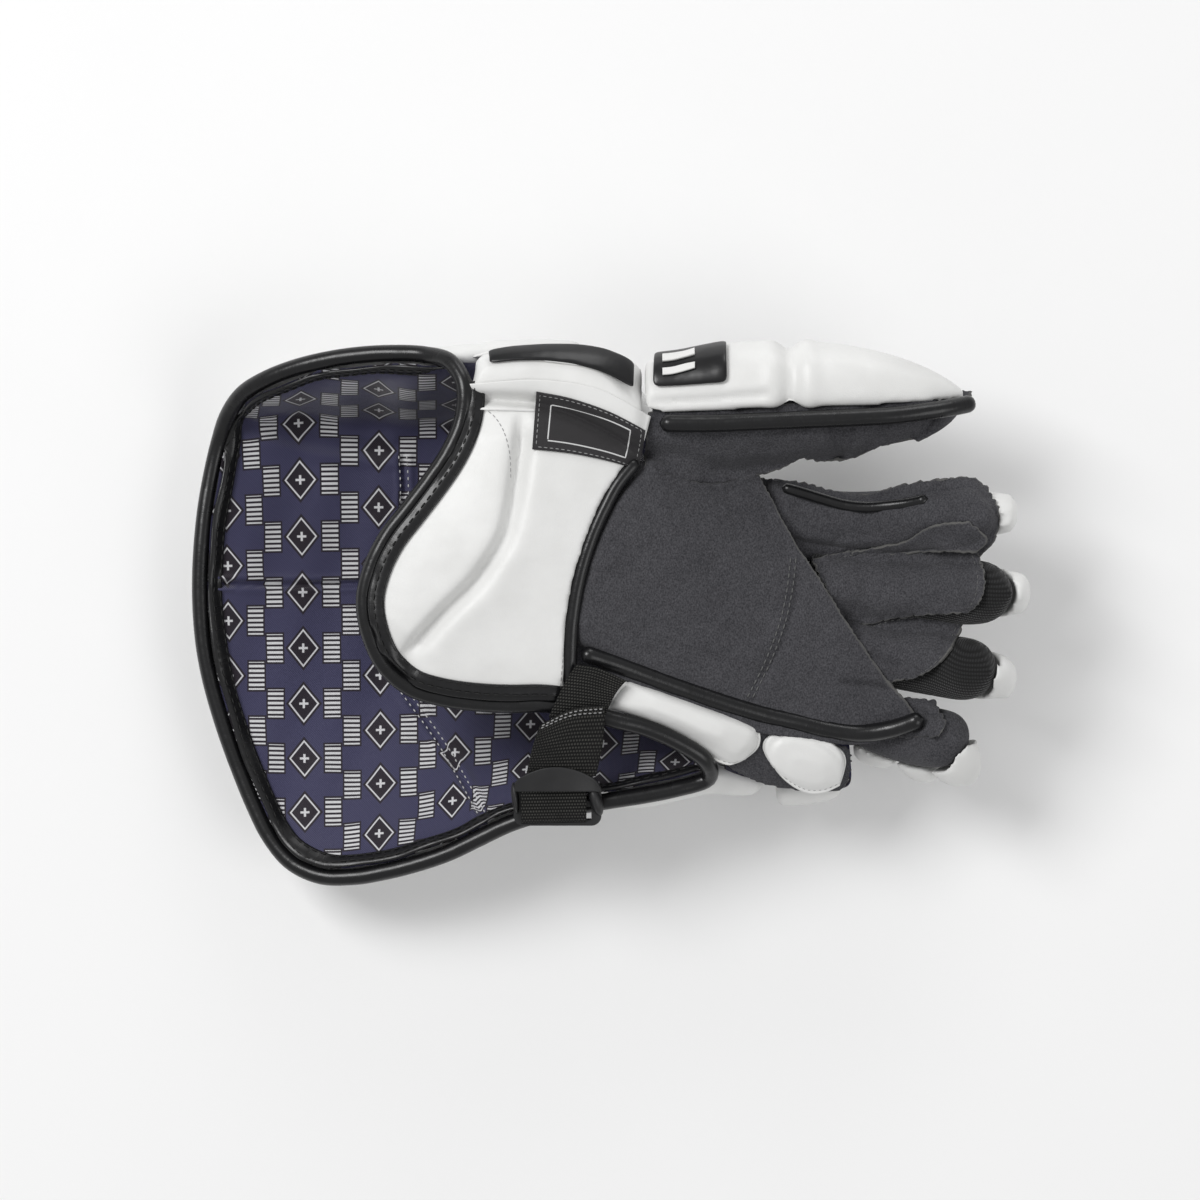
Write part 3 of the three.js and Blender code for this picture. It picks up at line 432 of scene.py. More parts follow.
def circle(radius, sides=12, flat=1.0):
    return [(radius * math.cos(a), radius * flat * math.sin(a))
            for a in np.linspace(0, 2 * math.pi, sides, endpoint=False)]


# Cuff shell: the flared wall round the wrist and forearm. It is foam panels under white coated leather,
# sewn down between them, and its bound edge is thinner than its middle.
cuff = padding("cuff_shell", "cuff_leather", voxel=0.0022, rounds=10, levels=1)
places, normals = points_of(cuff), normals_of(cuff)
away = np.clip(-normals[:, 2] + 0.35, 0, 1)
for shelf in (-0.112, -0.060):
    off = np.abs(places[:, 0] - shelf - 0.12 * places[:, 2])
    places -= normals * (away * (0.0020 * np.exp(-((off / 0.0018) ** 2))
                                 - 0.0008 * np.exp(-(((off - 0.0060) / 0.0040) ** 2))))[:, None]
places[:, 2] = np.maximum(places[:, 2], 0.0)
move_to(cuff, places)
fit(cuff, WHITE, "white_leather", "cuff_shell", fill=0.7)


# Lining: navy satin twill with a small print, over thin foam. One panel lies over the floor and both walls
# of the cuff as far as the slit, and a second one goes on through the wrist into the hand.
NAVY = (0.045, 0.043, 0.115, 1)
PLUM = (0.013, 0.008, 0.012, 1)
CHALK = (0.78, 0.78, 0.80, 1)
MOTIF_WIDE, MOTIF_LONG = 0.031, 0.0225


def printed_twill():
    """Twill ribs, and a half-drop print of dark diamonds with a pale outline and short pale dashes."""
    finish = Finish("printed_twill", 0.6, Specular_IOR_Level=0.4, Sheen_Weight=0.3, Sheen_Roughness=0.4)
    x, y, _ = finish.cloth.parts()
    column = (x / MOTIF_WIDE).floor()
    down = y / MOTIF_LONG + (column % 2.0) * 0.5
    across = ((x / MOTIF_WIDE) % 1.0 - 0.5) * (MOTIF_WIDE * 1000)
    along = (down % 1.0 - 0.5) * (MOTIF_LONG * 1000)
    reach = abs(across) / 7.6 + abs(along) / 9.4
    diamond = reach.step(1.0, 0.94)
    outline = reach.step(0.70, 0.74) * reach.step(0.84, 0.80)
    heart = (abs(across).step(2.0, 1.7) * abs(along).step(0.55, 0.35)).most(
        abs(along).step(2.0, 1.7) * abs(across).step(0.55, 0.35))
    row = abs(abs(across) - 11.6)
    dashes = row.step(3.3, 3.1) * ((along / 1.9 + 0.5) % 1.0).step(0.28, 0.36) * ((along / 1.9 + 0.5) % 1.0).step(
        0.90, 0.82)
    dashes = dashes * abs(along).step(5.75, 5.6)
    backing = row.step(4.0, 3.7) * abs(along).step(6.6, 6.3)
    rib = ((x + y * 0.9) * (2 * math.pi / 0.0009)).sine()
    ground = (rib * 0.5 + 0.5).blend((0.034, 0.033, 0.078, 1), (0.056, 0.054, 0.118, 1))
    fade = finish.place.noise(25, 2)
    inked = ground.node("ShaderNodeMix", {"data_type": "RGBA"}, {0: diamond.most(backing) * 0.93, 6: ground, 7: PLUM}, 2)
    pale = outline.most(heart).most(dashes) * (fade * 0.2 + 0.76)
    finish.wear("Base Color", ground.node("ShaderNodeMix", {"data_type": "RGBA"}, {0: pale, 6: inked, 7: CHALK}, 2))
    finish.raise_by(rib * 0.5 + finish.place.noise(140, 3) * 3.0, 0.0004, 0.5)
    return finish.material


TWILL = printed_twill()


def inner_face(node, name, over):
    """The face of a lining that shows: the solid's faces that look towards the hand's room, as one sheet."""
    piece = copy_of(node, name)
    bpy.ops.object.select_all(action="DESELECT")
    piece.select_set(True)
    bpy.context.view_layer.objects.active = piece
    bpy.context.tool_settings.mesh_select_mode = (False, False, True)
    for part in (*piece.data.vertices, *piece.data.edges):
        part.select = False
    for face in piece.data.polygons:
        towards = Vector((face.center.x, over[1], over[2])) - face.center
        face.select = face.normal.dot(towards.normalized()) < 0.3
    bpy.ops.object.mode_set(mode="EDIT")
    bpy.ops.mesh.delete(type="FACE")
    bpy.ops.mesh.select_all(action="SELECT")
    bpy.ops.mesh.remove_doubles(threshold=4e-4)
    bpy.ops.object.mode_set(mode="OBJECT")
    return piece


def lay_out(piece):
    """Flattens a sheet into its cloth map, in metres, with its length along the glove."""
    bpy.ops.object.select_all(action="DESELECT")
    piece.select_set(True)
    bpy.context.view_layer.objects.active = piece
    layer = piece.data.uv_layers.new(name="cloth")
    piece.data.uv_layers.active = layer
    bpy.ops.object.mode_set(mode="EDIT")
    bpy.ops.mesh.select_all(action="SELECT")
    bpy.ops.uv.unwrap(method="ANGLE_BASED", margin=0.0)
    bpy.ops.object.mode_set(mode="OBJECT")
    layer = piece.data.uv_layers["cloth"]
    flat = np.empty(len(layer.data) * 2, dtype=np.float32)
    layer.data.foreach_get("uv", flat)
    flat = flat.reshape(-1, 2).astype(float)
    corners = np.empty(len(piece.data.loops), dtype=np.int32)
    piece.data.loops.foreach_get("vertex_index", corners)
    real = points_of(piece)[corners]
    middle = flat - flat.mean(axis=0)
    slope = np.linalg.lstsq(middle, real[:, :2] - real[:, :2].mean(axis=0), rcond=None)[0]
    turn = math.atan2(slope[0, 1] - slope[1, 0], slope[0, 0] + slope[1, 1])
    mirrored = np.linalg.det(slope) < 0
    if mirrored:
        middle[:, 1] *= -1
        slope = np.linalg.lstsq(middle, real[:, :2] - real[:, :2].mean(axis=0), rcond=None)[0]
        turn = math.atan2(slope[0, 1] - slope[1, 0], slope[0, 0] + slope[1, 1])
    spin = np.array([[math.cos(turn), math.sin(turn)], [-math.sin(turn), math.cos(turn)]])
    middle = middle @ spin
    drawn = 0.0
    for face in piece.data.polygons:
        ring = middle[list(face.loop_indices)]
        drawn += abs(np.sum(ring[:, 0] * np.roll(ring[:, 1], -1) - ring[:, 1] * np.roll(ring[:, 0], -1))) / 2
    cloth_area = sum(face.area for face in piece.data.polygons)
    middle *= math.sqrt(cloth_area / drawn)
    layer.data.foreach_set("uv", middle.astype(np.float32).ravel())
    return cloth_area, np.ptp(middle, axis=0)


def lining(node, name, over):
    piece = inner_face(node, name, over)
    apply(piece, "SUBSURF", levels=2, render_levels=2)
    area, size = lay_out(piece)
    apply(piece, "SUBSURF", levels=2, render_levels=2)
    places, normals = points_of(piece), normals_of(piece)
    towards = np.array([0, over[1], over[2]]) - places * (0, 1, 1)
    side = np.sign(np.sum(normals * towards, axis=1))[:, None]
    x, y = places[:, 0] / 0.034, places[:, 1] / 0.034
    slack = np.sin(2 * math.pi * (x + 0.4 * y)) * np.sin(2 * math.pi * (0.7 * y - 0.3 * x) + 1.0)
    move_to(piece, places + normals * side * (0.0011 + 0.0009 * slack[:, None]))
    fit(piece, TWILL, "lining", node)
    area = min(sum(face.area for face in piece.data.polygons), float(size[0] * size[1]))
    return piece, area, size


cuff_cloth, cuff_area, cuff_size = lining("cuff_lining", "cuff_cloth", (0, 0.0, 0.075))
hand_cloth, hand_area, hand_size = lining("hand_lining", "hand_cloth", (0, 0.015, 0.075))
CUFF_SEAMS = [
    ([(-161.8, 11.3), (-139.8, 10.9), (-115.8, 10.9), (-95.0, 11.7)], 0.0011, 0.0026),
    ([(-147.8, 74.5), (-123.8, 69.3), (-103.8, 66.1), (-83.8, 64.5)], 0.0024, 0.0009),
    ([(-83.8, -31.5), (-67.8, -53.5), (-55.8, -73.5), (-48.6, -85.9)], 0.0012, 0.0018),
    ([(-83.8, 64.5), (-83.0, 50.5), (-83.8, 36.5)], 0.0012, 0.0018),
]
for line, width, depth in CUFF_SEAMS:
    press(cuff_cloth, line, width, depth, lift=0.0010, facing=-1)


# Wrist flap: a foam pad in white leather, arched over the wrist. A curved valley is pressed into it, which
# leaves a long raised lobe along its free edge. Its underside has the navy lining.
flap = padding("wrist_flap", "flap_leather", voxel=0.0014, rounds=10)
places, normals = points_of(flap), normals_of(flap)
FLAP_EDGE = [(-85.8, -22.7), (-97.4, -3.5), (-99.0, 8.5), (-89.8, 28.5), (-75.8, 46.5), (-63.8, 63.7), (-55.8, 83.7), (-27.8, 82.9), (-3.8, 74.5), (8.2, 64.5), (-7.0, 30.5), (-13.0, 8.5), (-16.6, -11.5), (-17.4, -35.5), (-43.8, -36.7), (-85.8, -22.7)]
inside = np.clip((distance_to(places, curved(FLAP_EDGE, 0.003))[0] - 0.004) / 0.006, 0, 1) * (normals[:, 2] > 0.4)
upper = flap.vertex_groups.new(name="upper")
for k in np.nonzero(inside > 0)[0]:
    upper.add([int(k)], float(inside[k]), "REPLACE")
apply(flap, "SMOOTH", factor=0.6, iterations=160, vertex_group="upper")
FLAP_VALLEY = [(-35.4, 79.7), (-35.4, 68.5), (-37.0, 55.3), (-39.4, 39.7), (-43.0, 27.7), (-53.4, 12.1), (-67.8, -2.3), (-83.8, -20.3)]
valley = curved(FLAP_VALLEY, 0.0008)
places, normals = points_of(flap), normals_of(flap)
off, along = distance_to(places, valley)
nearest = np.array([int(np.argmin(((place[:2] - valley[:, :2]) ** 2).sum(axis=1))) for place in places])
course = np.gradient(valley[:, :2], axis=0)
course /= np.linalg.norm(course, axis=1)[:, None]
gap = places[:, :2] - valley[nearest, :2]
side = course[nearest, 0] * gap[:, 1] - course[nearest, 1] * gap[:, 0]
left = np.clip(0.5 - side / 0.0016, 0, 1)
fade = np.clip(np.minimum(along, 1 - along) / 0.1, 0, 1) * (normals[:, 2] > 0.2)
lobe = left * (1 - np.exp(-((off / 0.0030) ** 2))) * np.exp(-((off / 0.018) ** 2)) * 0.0036
bank = (1 - left) * np.exp(-(((off - 0.007) / 0.006) ** 2)) * 0.0010
crease = -0.0030 * np.exp(-((off / (0.0018 + 0.0026 * (1 - left))) ** 2))
move_to(flap, places + normals * ((lobe + bank + crease) * fade)[:, None])
fit(flap, WHITE, "white_leather", "wrist_flap", fill=0.8)
flap_cloth = padding("flap_lining", "flap_cloth", voxel=0.0012, rounds=3, levels=1)
lay_out(flap_cloth)
fit(flap_cloth, TWILL, "lining", "flap_lining", fill=0.5)


# Bound rim: black coated leather turned over a cord, sewn on as one loop round the cuff, along the flap's
# free edge and back down the slit. Its inner tape lies flat on the lining and on the flap.
RIM = [(39.4, -66.8, 56.1), (26.6, -71.0, 55.5), (13.1, -73.7, 55.6), (-0.3, -75.8, 55.4), (-13.8, -78.3, 53.8),
       (-27.1, -81.1, 51.6), (-40.0, -85.2, 49.4), (-52.2, -91.0, 47.2), (-64.4, -96.9, 44.9), (-77.1, -101.3, 42.4),
       (-90.2, -104.7, 39.7), (-103.4, -106.9, 36.8), (-116.6, -106.6, 33.3), (-128.5, -101.1, 30.0),
       (-137.2, -90.8, 27.8), (-143.4, -78.6, 26.4), (-148.7, -65.9, 25.3), (-153.5, -53.2, 24.7),
       (-157.8, -40.1, 24.4), (-161.4, -26.9, 24.4), (-163.9, -13.3, 24.4), (-165.1, 0.3, 24.3),
       (-165.3, 14.0, 24.4), (-164.6, 27.7, 24.4), (-163.2, 41.3, 23.8), (-160.9, 54.9, 23.0), (-157.7, 68.4, 24.5),
       (-153.8, 79.0, 31.5), (-147.4, 87.4, 40.1), (-137.7, 93.1, 47.8), (-125.8, 97.5, 53.0), (-113.1, 100.5, 57.2),
       (-99.9, 102.3, 60.9), (-86.7, 102.9, 64.4), (-73.5, 102.2, 68.0), (-63.3, 99.0, 76.4), (-57.6, 89.2, 82.2),
       (-58.5, 75.6, 82.8), (-63.8, 63.0, 84.1), (-71.4, 51.6, 84.8), (-79.7, 40.7, 85.1), (-88.1, 29.8, 85.0),
       (-94.2, 17.6, 84.6), (-97.2, 4.3, 83.9), (-95.1, -9.2, 83.3), (-89.3, -21.5, 82.0), (-79.1, -30.4, 80.8),
       (-66.2, -34.5, 79.9), (-52.6, -36.4, 78.7), (-38.9, -37.1, 77.7), (-25.2, -37.0, 77.3), (-11.7, -39.2, 76.8),
       (1.4, -43.0, 75.5), (14.4, -46.4, 72.7), (26.7, -51.8, 70.0), (37.6, -58.9, 65.8)]
RIM_RADIUS = 0.0034
rim_line = curved(RIM, 0.0016, closed=True)[:-1]
rim = swept("rim_roll", rim_line, circle(RIM_RADIUS, 14), closed=True)
fit(rim, BLACK, "black_leather", "cuff_binding")


def surface_of(*parts):
    """The skins of some pieces as one surface that lines can be laid on."""
    points, faces, start = [], [], 0
    for part in parts:
        points += [tuple(p) for p in points_of(part)]
        faces += [tuple(start + v for v in face.vertices) for face in part.data.polygons]
        start = len(points)
    return BVHTree.FromPolygons(points, faces)


def heights(sheet, surface):
    """How high a surface stands under each place of a sheet. Where there is nothing under it: not a number."""
    found = np.full(sheet.shape[:2], np.nan)
    for i in range(sheet.shape[0]):
        for j in range(sheet.shape[1]):
            spot, _, _, _ = surface.ray_cast(Vector((sheet[i, j, 0], sheet[i, j, 1], 0.2)), Vector((0, 0, -1)))
            if spot is not None:
                found[i, j] = spot.z
    return found


def on_top(surface, line, lift):
    """A line of (x, y) places put on top of a surface, without those that have nothing under them."""
    z = heights(line[None, :, :2], surface)[0]
    there = ~np.isnan(z)
    return np.column_stack([line[there, :2], z[there] + lift])


def laid(surface, places, lift, room=None):
    """Each place moved to the nearest point of a surface, and lifted off it to the side of the room."""
    found = []
    for place in places:
        spot, normal, _, _ = surface.find_nearest(Vector(place))
        towards = (Vector((place[0], room[0], room[1])) if room else Vector(place) + Vector((0, 0, 1))) - spot
        if normal.dot(towards) < 0:
            normal = -normal
        found.append(spot + normal * lift)
    return np.array(found)


def strip(name, rows, thick):
    """A band of leather from rows of points, with its thickness."""
    rows = np.array(rows)
    count, wide = rows.shape[:2]
    points = rows.reshape(-1, 3)
    walked = np.concatenate([[0], np.cumsum(np.linalg.norm(np.diff(rows[:, 0], axis=0), axis=1))])
    aside = np.concatenate([[0], np.cumsum(np.linalg.norm(np.diff(rows[0], axis=0), axis=1))])
    cloth = np.stack(np.broadcast_arrays(walked[:, None], aside[None, :]), axis=-1).reshape(-1, 2)
    faces = [(i * wide + j, i * wide + j + 1, (i + 1) * wide + j + 1, (i + 1) * wide + j)
             for i in range(count - 1) for j in range(wide - 1)]
    piece = skin(name, points, faces, cloth)
    apply(piece, "SOLIDIFY", thickness=thick, offset=0)
    outward(piece)
    return piece


def declare(piece, rows, held, *under):
    """Works out the diagonals across the rows of points that a sheet was made from, and does nothing
    more with them. Tapes and trims narrower than a centimetre aren't sheets."""
    rows = np.array(rows)
    one, two = rows[1:, 1:] - rows[:-1, :-1], rows[1:, :-1] - rows[:-1, 1:]


def stitched(name, line, up, length=0.0022, gap=0.0012, thick=0.00032, sink=0.0):
    """A row of stitches along a line: short rounded threads, each a few faces, lying along it."""
    run, right, top = sides_of(line, up)
    walked = np.concatenate([[0], np.cumsum(np.linalg.norm(np.diff(line, axis=0), axis=1))])
    starts = np.arange(gap, walked[-1] - length, length + gap)
    points, faces = [], []
    for start in starts:
        shares = [(0.0, 0.35), (0.25, 1.0), (0.75, 1.0), (1.0, 0.35)]
        base = len(points)
        for share, fat in shares:
            at = start + share * length
            middle = np.array([np.interp(at, walked, line[:, i]) for i in range(3)])
            k = min(int(np.searchsorted(walked, at)), len(line) - 1)
            dip = sink if fat < 1 else 0.0
            for a in np.linspace(0, 2 * math.pi, 5, endpoint=False):
                points.append(middle + right[k] * thick * fat * math.cos(a)
                              + top[k] * (thick * fat * math.sin(a) - dip))
        for ring in range(3):
            for j in range(5):
                k = (j + 1) % 5
                faces.append((base + ring * 5 + j, base + ring * 5 + k, base + ring * 5 + 5 + k, base + ring * 5 + 5 + j))
        faces.append(tuple(base + j for j in reversed(range(5))))
        faces.append(tuple(base + 15 + j for j in range(5)))
    piece = skin(name, points, faces)
    outward(piece)
    return piece


def thread(name, shade):
    """Twisted sewing thread."""
    finish = Finish(name, 0.7, Specular_IOR_Level=0.3)
    twist = finish.place.noise(2500, 1)
    finish.wear("Base Color", twist.blend(tuple(0.7 * c for c in shade[:3]) + (1,), shade))
    return finish.material


BLACK_THREAD = thread("black_thread", grey(0.02))
WHITE_THREAD = thread("white_thread", grey(0.7))
GREY_THREAD = thread("grey_thread", grey(0.33))
DARK_THREAD = thread("dark_thread", grey(0.13))

cuff_surface = surface_of(cuff_cloth, hand_cloth)
for i, line in enumerate([CUFF_SEAMS[2][0], CUFF_SEAMS[3][0]]):
    for j, aside in enumerate((-0.0016, 0.0016)):
        seam = on_top(cuff_surface, curved(line)[:, :2] + (aside, 0), 0.0003)
        fit(stitched(f"lining_stitches_{i}_{j}", seam, (0, 0, 1), 0.0013, 0.0016, 0.0003), WHITE_THREAD, "lining")
flap_surface = surface_of(flap)
FLAP_STITCHES = [
    [(-48.6, 79.7), (-45.0, 76.5), (-41.4, 70.1), (-39.4, 61.3), (-39.0, 50.9)],
    [(-80.6, -25.9), (-67.8, -31.5), (-51.8, -34.3), (-21.4, -35.1)],
    [(-19.8, -33.1), (-18.2, -15.5), (-16.6, 0.5)],
]
for i, points in enumerate(FLAP_STITCHES):
    seam = on_top(flap_surface, curved(points), 0.0001)
    fit(stitched(f"flap_stitches_{i + 1}", seam, (0, 0, 1), 0.0016, 0.0008, 0.00018), GREY_THREAD, "white_leather")


def band(name, line, inward, surface, reach, start=0.0016, room=None):
    """The binding's flat tape, from under the roll to its raw edge, laid on the surface beside it. It swells
    once between its two seams. It gives the piece and the rows of points that it was made from."""
    across = np.linspace(start, reach, 9)
    swell = 0.0006 + 0.0010 * np.sin(np.linspace(0.25, 1, 9) * math.pi) ** 2
    rows = []
    for i, place in enumerate(line):
        spots = np.array([place + inward[i] * d for d in across])
        if room:
            on = laid(surface, spots, 0.0, room)
            rows.append(on + (laid(surface, spots, 0.001, room) - on) * (swell / 0.001)[:, None])
        else:
            z = heights(spots[None, :, :2], surface)[0]
            z = np.interp(across, across[~np.isnan(z)], z[~np.isnan(z)]) if not np.isnan(z).all() else spots[:, 2]
            rows.append(np.column_stack([spots[:, :2], z + swell]))
    rows = np.array(rows)
    for _ in range(3):
        rows[1:-1] = (rows[:-2] + rows[1:-1] + rows[2:]) / 3
    return strip(name, rows, 0.0009), rows


def smoothed(values, rounds):
    for _ in range(rounds):
        values = (values + np.roll(values, 1, axis=0) + np.roll(values, -1, axis=0)) / 3
    return values


run, right, top = sides_of(rim_line, (0, 0, 1), closed=True)
first_flap = int(np.argmax((rim_line[:, 2] > 0.0815) & (rim_line[:, 0] > -0.062)))
last_flap = int(np.argmax((np.arange(len(rim_line)) > first_flap) & (rim_line[:, 0] > -0.016)))
cuff_part = slice(0, first_flap - 6)
flap_part = slice(first_flap, last_flap)
for name, part, side, surface, room, count in [
    ("rim_tape_cuff", cuff_part, right, cuff_surface, (0.0, 0.075), 0.0086),
    ("rim_tape_flap", flap_part, -right, flap_surface, None, 0.0080),
]:
    tape, rows = band(name, rim_line[part], side[part], surface, count, room=room)
    fit(tape, BLACK, "black_leather")
    for k, off in ((3, 0.0008), (7, 0.0007)):
        toward = np.cross(rows[:, k + 1] - rows[:, k], np.gradient(rows[:, k], axis=0))
        toward *= np.sign(toward[:, 2:]) / np.linalg.norm(toward, axis=1)[:, None]
        seam = rows[:, k] + toward * off
        fit(stitched(f"{name}_stitches_{k}", seam, (0, 0, 1), 0.0026, 0.0012, 0.00028), BLACK_THREAD, "black_leather")


# Side panel: white leather over foam, which closes the wrist on the thumb side. Its seam allowance laps over
# the flap, and the label covers their seam.
def edge_of(points, count):
    """A smooth line through (x, y) points in millimetres, as that many places in metres."""
    line = curved(points, 0.001) if len(points) > 2 else np.linspace(points[0], points[1], 40) / 1000
    walked = np.concatenate([[0], np.cumsum(np.linalg.norm(np.diff(line, axis=0), axis=1))])
    places = np.linspace(0, walked[-1], count)
    return np.column_stack([np.interp(places, walked, line[:, i]) for i in range(2)])


def cut(near, far, low, high, wide, long):
    """A sheet's places (x, y) inside four edges: low and high run from the near edge to the far one."""
    near, far = edge_of(near, wide), edge_of(far, wide)
    low, high = edge_of(low, long), edge_of(high, long)
    s = np.linspace(0, 1, wide)[None, :, None]
    t = np.linspace(0, 1, long)[:, None, None]
    sheet = (1 - t) * near[None] + t * far[None] + (1 - s) * low[:, None] + s * high[:, None]
    for share, corner in [((1 - s) * (1 - t), (near[0] + low[0]) / 2), ((1 - s) * t, (far[0] + low[-1]) / 2),
                          (s * (1 - t), (near[-1] + high[0]) / 2), (s * t, (far[-1] + high[-1]) / 2)]:
        sheet = sheet - share * corner
    return sheet


def settled(found, lift, rounds, pull=1.0):
    """A sheet let down on what is under it: it lies on the high places and spans the low ones."""
    known = ~np.isnan(found)
    z = np.where(known, found, np.nanmin(found))
    floor = np.where(known, found + lift, -1.0)
    for _ in range(rounds):
        framed = np.pad(z, 1, mode="edge")
        mean = (framed[:-2, 1:-1] + framed[2:, 1:-1] + framed[1:-1, :-2] + framed[1:-1, 2:]) / 4
        z = np.maximum(z + (mean - z) * pull, floor)
    for _ in range(4):
        framed = np.pad(z, 1, mode="edge")
        z = (framed[:-2, 1:-1] + framed[2:, 1:-1] + framed[1:-1, :-2] + framed[1:-1, 2:] + 2 * z) / 6
    return z


def ripple(places, length, seed):
    """A slow, steady wave over places in metres, from -1 to 1, the same each run."""
    x, y = places[..., 0] / length, places[..., 1] / length
    return (np.sin(2 * math.pi * (x + 0.31 * y) + seed) + np.sin(2 * math.pi * (0.62 * x - 0.83 * y) + 2.1 * seed)
            + np.sin(2 * math.pi * (0.27 * x + 1.37 * y) + 3.7 * seed)) / 3


def sheeted(name, edges, over, thick, lift=0.0004, rounds=60, wide=40, long=60, sag=0.0, raw=0.0, creases=(),
            pale=True, wrinkle=0.0, drop=None):
    """Leather or cloth cut to four edges and let down over solids, with its folds and its raw edges.
    It gives the piece and the rows of points that it was made from."""
    sheet = cut(*edges, wide, long)
    z = settled(heights(sheet, over), lift + thick / 2, rounds)
    if drop:
        crown = z.max(axis=1)
        for k in range(1, long):
            crown[k] = max(crown[k], crown[k - 1] - 0.0004)
        z = np.maximum(z, crown[:, None] - drop) + 0.3 * np.minimum(z - crown[:, None] + drop, 0) * 0.2
    s = np.abs(np.linspace(-1, 1, wide))[None, :]
    z = z - sag * s**4
    for line, width, depth in creases:
        off, along = distance_to(sheet.reshape(-1, 2), curved(line))
        fade = np.clip(np.minimum(along, 1 - along) / 0.12, 0, 1)
        z = z - (depth * np.exp(-((off / width) ** 2)) * fade).reshape(z.shape)
    z = z + wrinkle * (0.65 * ripple(sheet, 0.017, len(name) * 1.3) + 0.35 * ripple(sheet[..., ::-1], 0.0065, len(name)))
    if raw:
        rim = np.minimum(np.minimum(np.arange(wide), np.arange(wide)[::-1])[None, :] / 5.0, 1)
        rim = np.minimum(rim, np.minimum(np.arange(long), np.arange(long)[::-1])[:, None] / 5.0)
        z = z + (1 - rim) * raw * ripple(sheet, 0.011, len(name))
        sheet = sheet + ((1 - rim) * raw * 0.5 * ripple(sheet, 0.0031, len(name) + 2.0))[..., None]
    rows = np.dstack([sheet, z])
    piece = strip(name, rows, thick)
    if raw:
        rim = np.zeros((long, wide))
        rim[-1] = 1.0
        if pale:
            rim[0] = rim[:, 0] = rim[:, -1] = 1.0
        cut_edge = piece.data.attributes.new("cut_edge", "FLOAT", "POINT")
        share = np.resize(rim.ravel(), len(piece.data.vertices)) if len(piece.data.vertices) == 2 * rim.size else None
        cut_edge.data.foreach_set("value", share.astype(np.float32))
    return piece, rows


panel = padding("side_panel", "side_leather", voxel=0.0014, rounds=8)
places = points_of(panel)
hem = places[:, 2].min() + 0.010
places[:, 2] -= 0.013 * np.clip((hem - places[:, 2]) / 0.008, 0, 1) * np.clip((places[:, 1] - 0.080) / 0.008, 0, 1)
move_to(panel, places)
fit(panel, WHITE, "white_leather", "side_panel", fill=0.7)
LAP_EDGES = (
    [(-55.8, 79.7), (-56.2, 90.1)],
    [(12.6, 63.7), (16.2, 77.3)],
    [(-55.8, 79.7), (-27.8, 78.9), (-7.8, 74.9), (12.6, 63.7)],
    [(-56.2, 90.1), (-27.8, 91.7), (-3.8, 87.7), (16.2, 77.3)],
)
panel_bed = surface_of(panel, flap)
lap, lap_rows = sheeted("side_lap", LAP_EDGES, panel_bed, 0.0012, lift=0.0002, rounds=30, wide=24, long=70)
fit(lap, WHITE, "white_leather")
declare(lap, lap_rows, "laid", "side_leather", "flap_leather")


# Palm: grey suede from the wrist seam to a loose diagonal edge over the fingers' roots. It runs on below
# that edge to the little finger, and a double row of stitches holds a second layer under it.
nodes = frame["nodes"]
PALM_EDGES = (
    [(-14.2, -40.3), (-15.4, -15.5), (-13.0, 8.5), (-7.0, 30.5), (1.0, 48.5), (9.8, 61.3)],
    [(124.2, -44.3), (118.2, -35.5), (109.8, -25.9), (101.0, -13.5), (93.4, -2.3), (82.6, 14.9), (74.2, 27.3), (64.2, 45.7), (58.6, 56.5)],
    [(-14.2, -17.5), (23.0, -30.7), (55.4, -41.9), (73.4, -46.3), (98.2, -51.1), (114.2, -49.1), (124.2, -44.3)],
    [(9.8, 61.3), (22.2, 54.9), (36.2, 50.9), (48.2, 51.7), (58.6, 56.5)],
)
PALM_FOLDS = [
    ([(16.2, 56.5), (36.2, 47.7), (54.2, 49.3), (68.2, 56.5)], 0.0035, 0.0022),
    ([(90.6, -28.3), (101.0, -29.1), (113.4, -30.7)], 0.0010, 0.0022),
    ([(36.2, 20.5), (52.2, 4.5), (64.2, -11.5)], 0.008, 0.0012),
    ([(2.2, 20.5), (12.2, 4.5), (16.2, -11.5)], 0.007, 0.0010),
    ([(76.2, 20.5), (73.8, 4.5), (69.4, -11.5), (57.0, -31.5)], 0.0022, 0.0016),
    ([(20.2, 44.5), (44.2, 36.5), (68.2, 38.5)], 0.006, 0.0012),
]
palm_bed = surface_of(nodes["palm_panel"], nodes["index_stall"], nodes["middle_patch"], nodes["ring_patch"],
                      nodes["little_stall"], nodes["ring_stall"], nodes["side_wall"])
palm, palm_rows = sheeted("palm_suede", PALM_EDGES, palm_bed, 0.0016, wide=90, long=120, rounds=160,
                          creases=PALM_FOLDS, raw=0.0005, pale=False, wrinkle=0.0006)
fit(palm, SUEDE, "suede", "palm_panel")
declare(palm, palm_rows, "stretched", "palm_panel", "index_stall", "little_stall", "side_wall")
palm_surface = surface_of(palm)
DOUBLE_SEAM = [(73.4, 22.1), (71.8, 8.5), (68.6, -5.5), (62.6, -21.1), (55.4, -35.5)]
for i, aside in enumerate((-0.0011, 0.0011)):
    seam = on_top(palm_surface, curved(DOUBLE_SEAM)[:, :2] + (aside, 0), 0.0002)
    fit(stitched(f"palm_stitches_{i + 1}", seam, (0, 0, 1), 0.0021, 0.0009, 0.0003), DARK_THREAD, "suede")


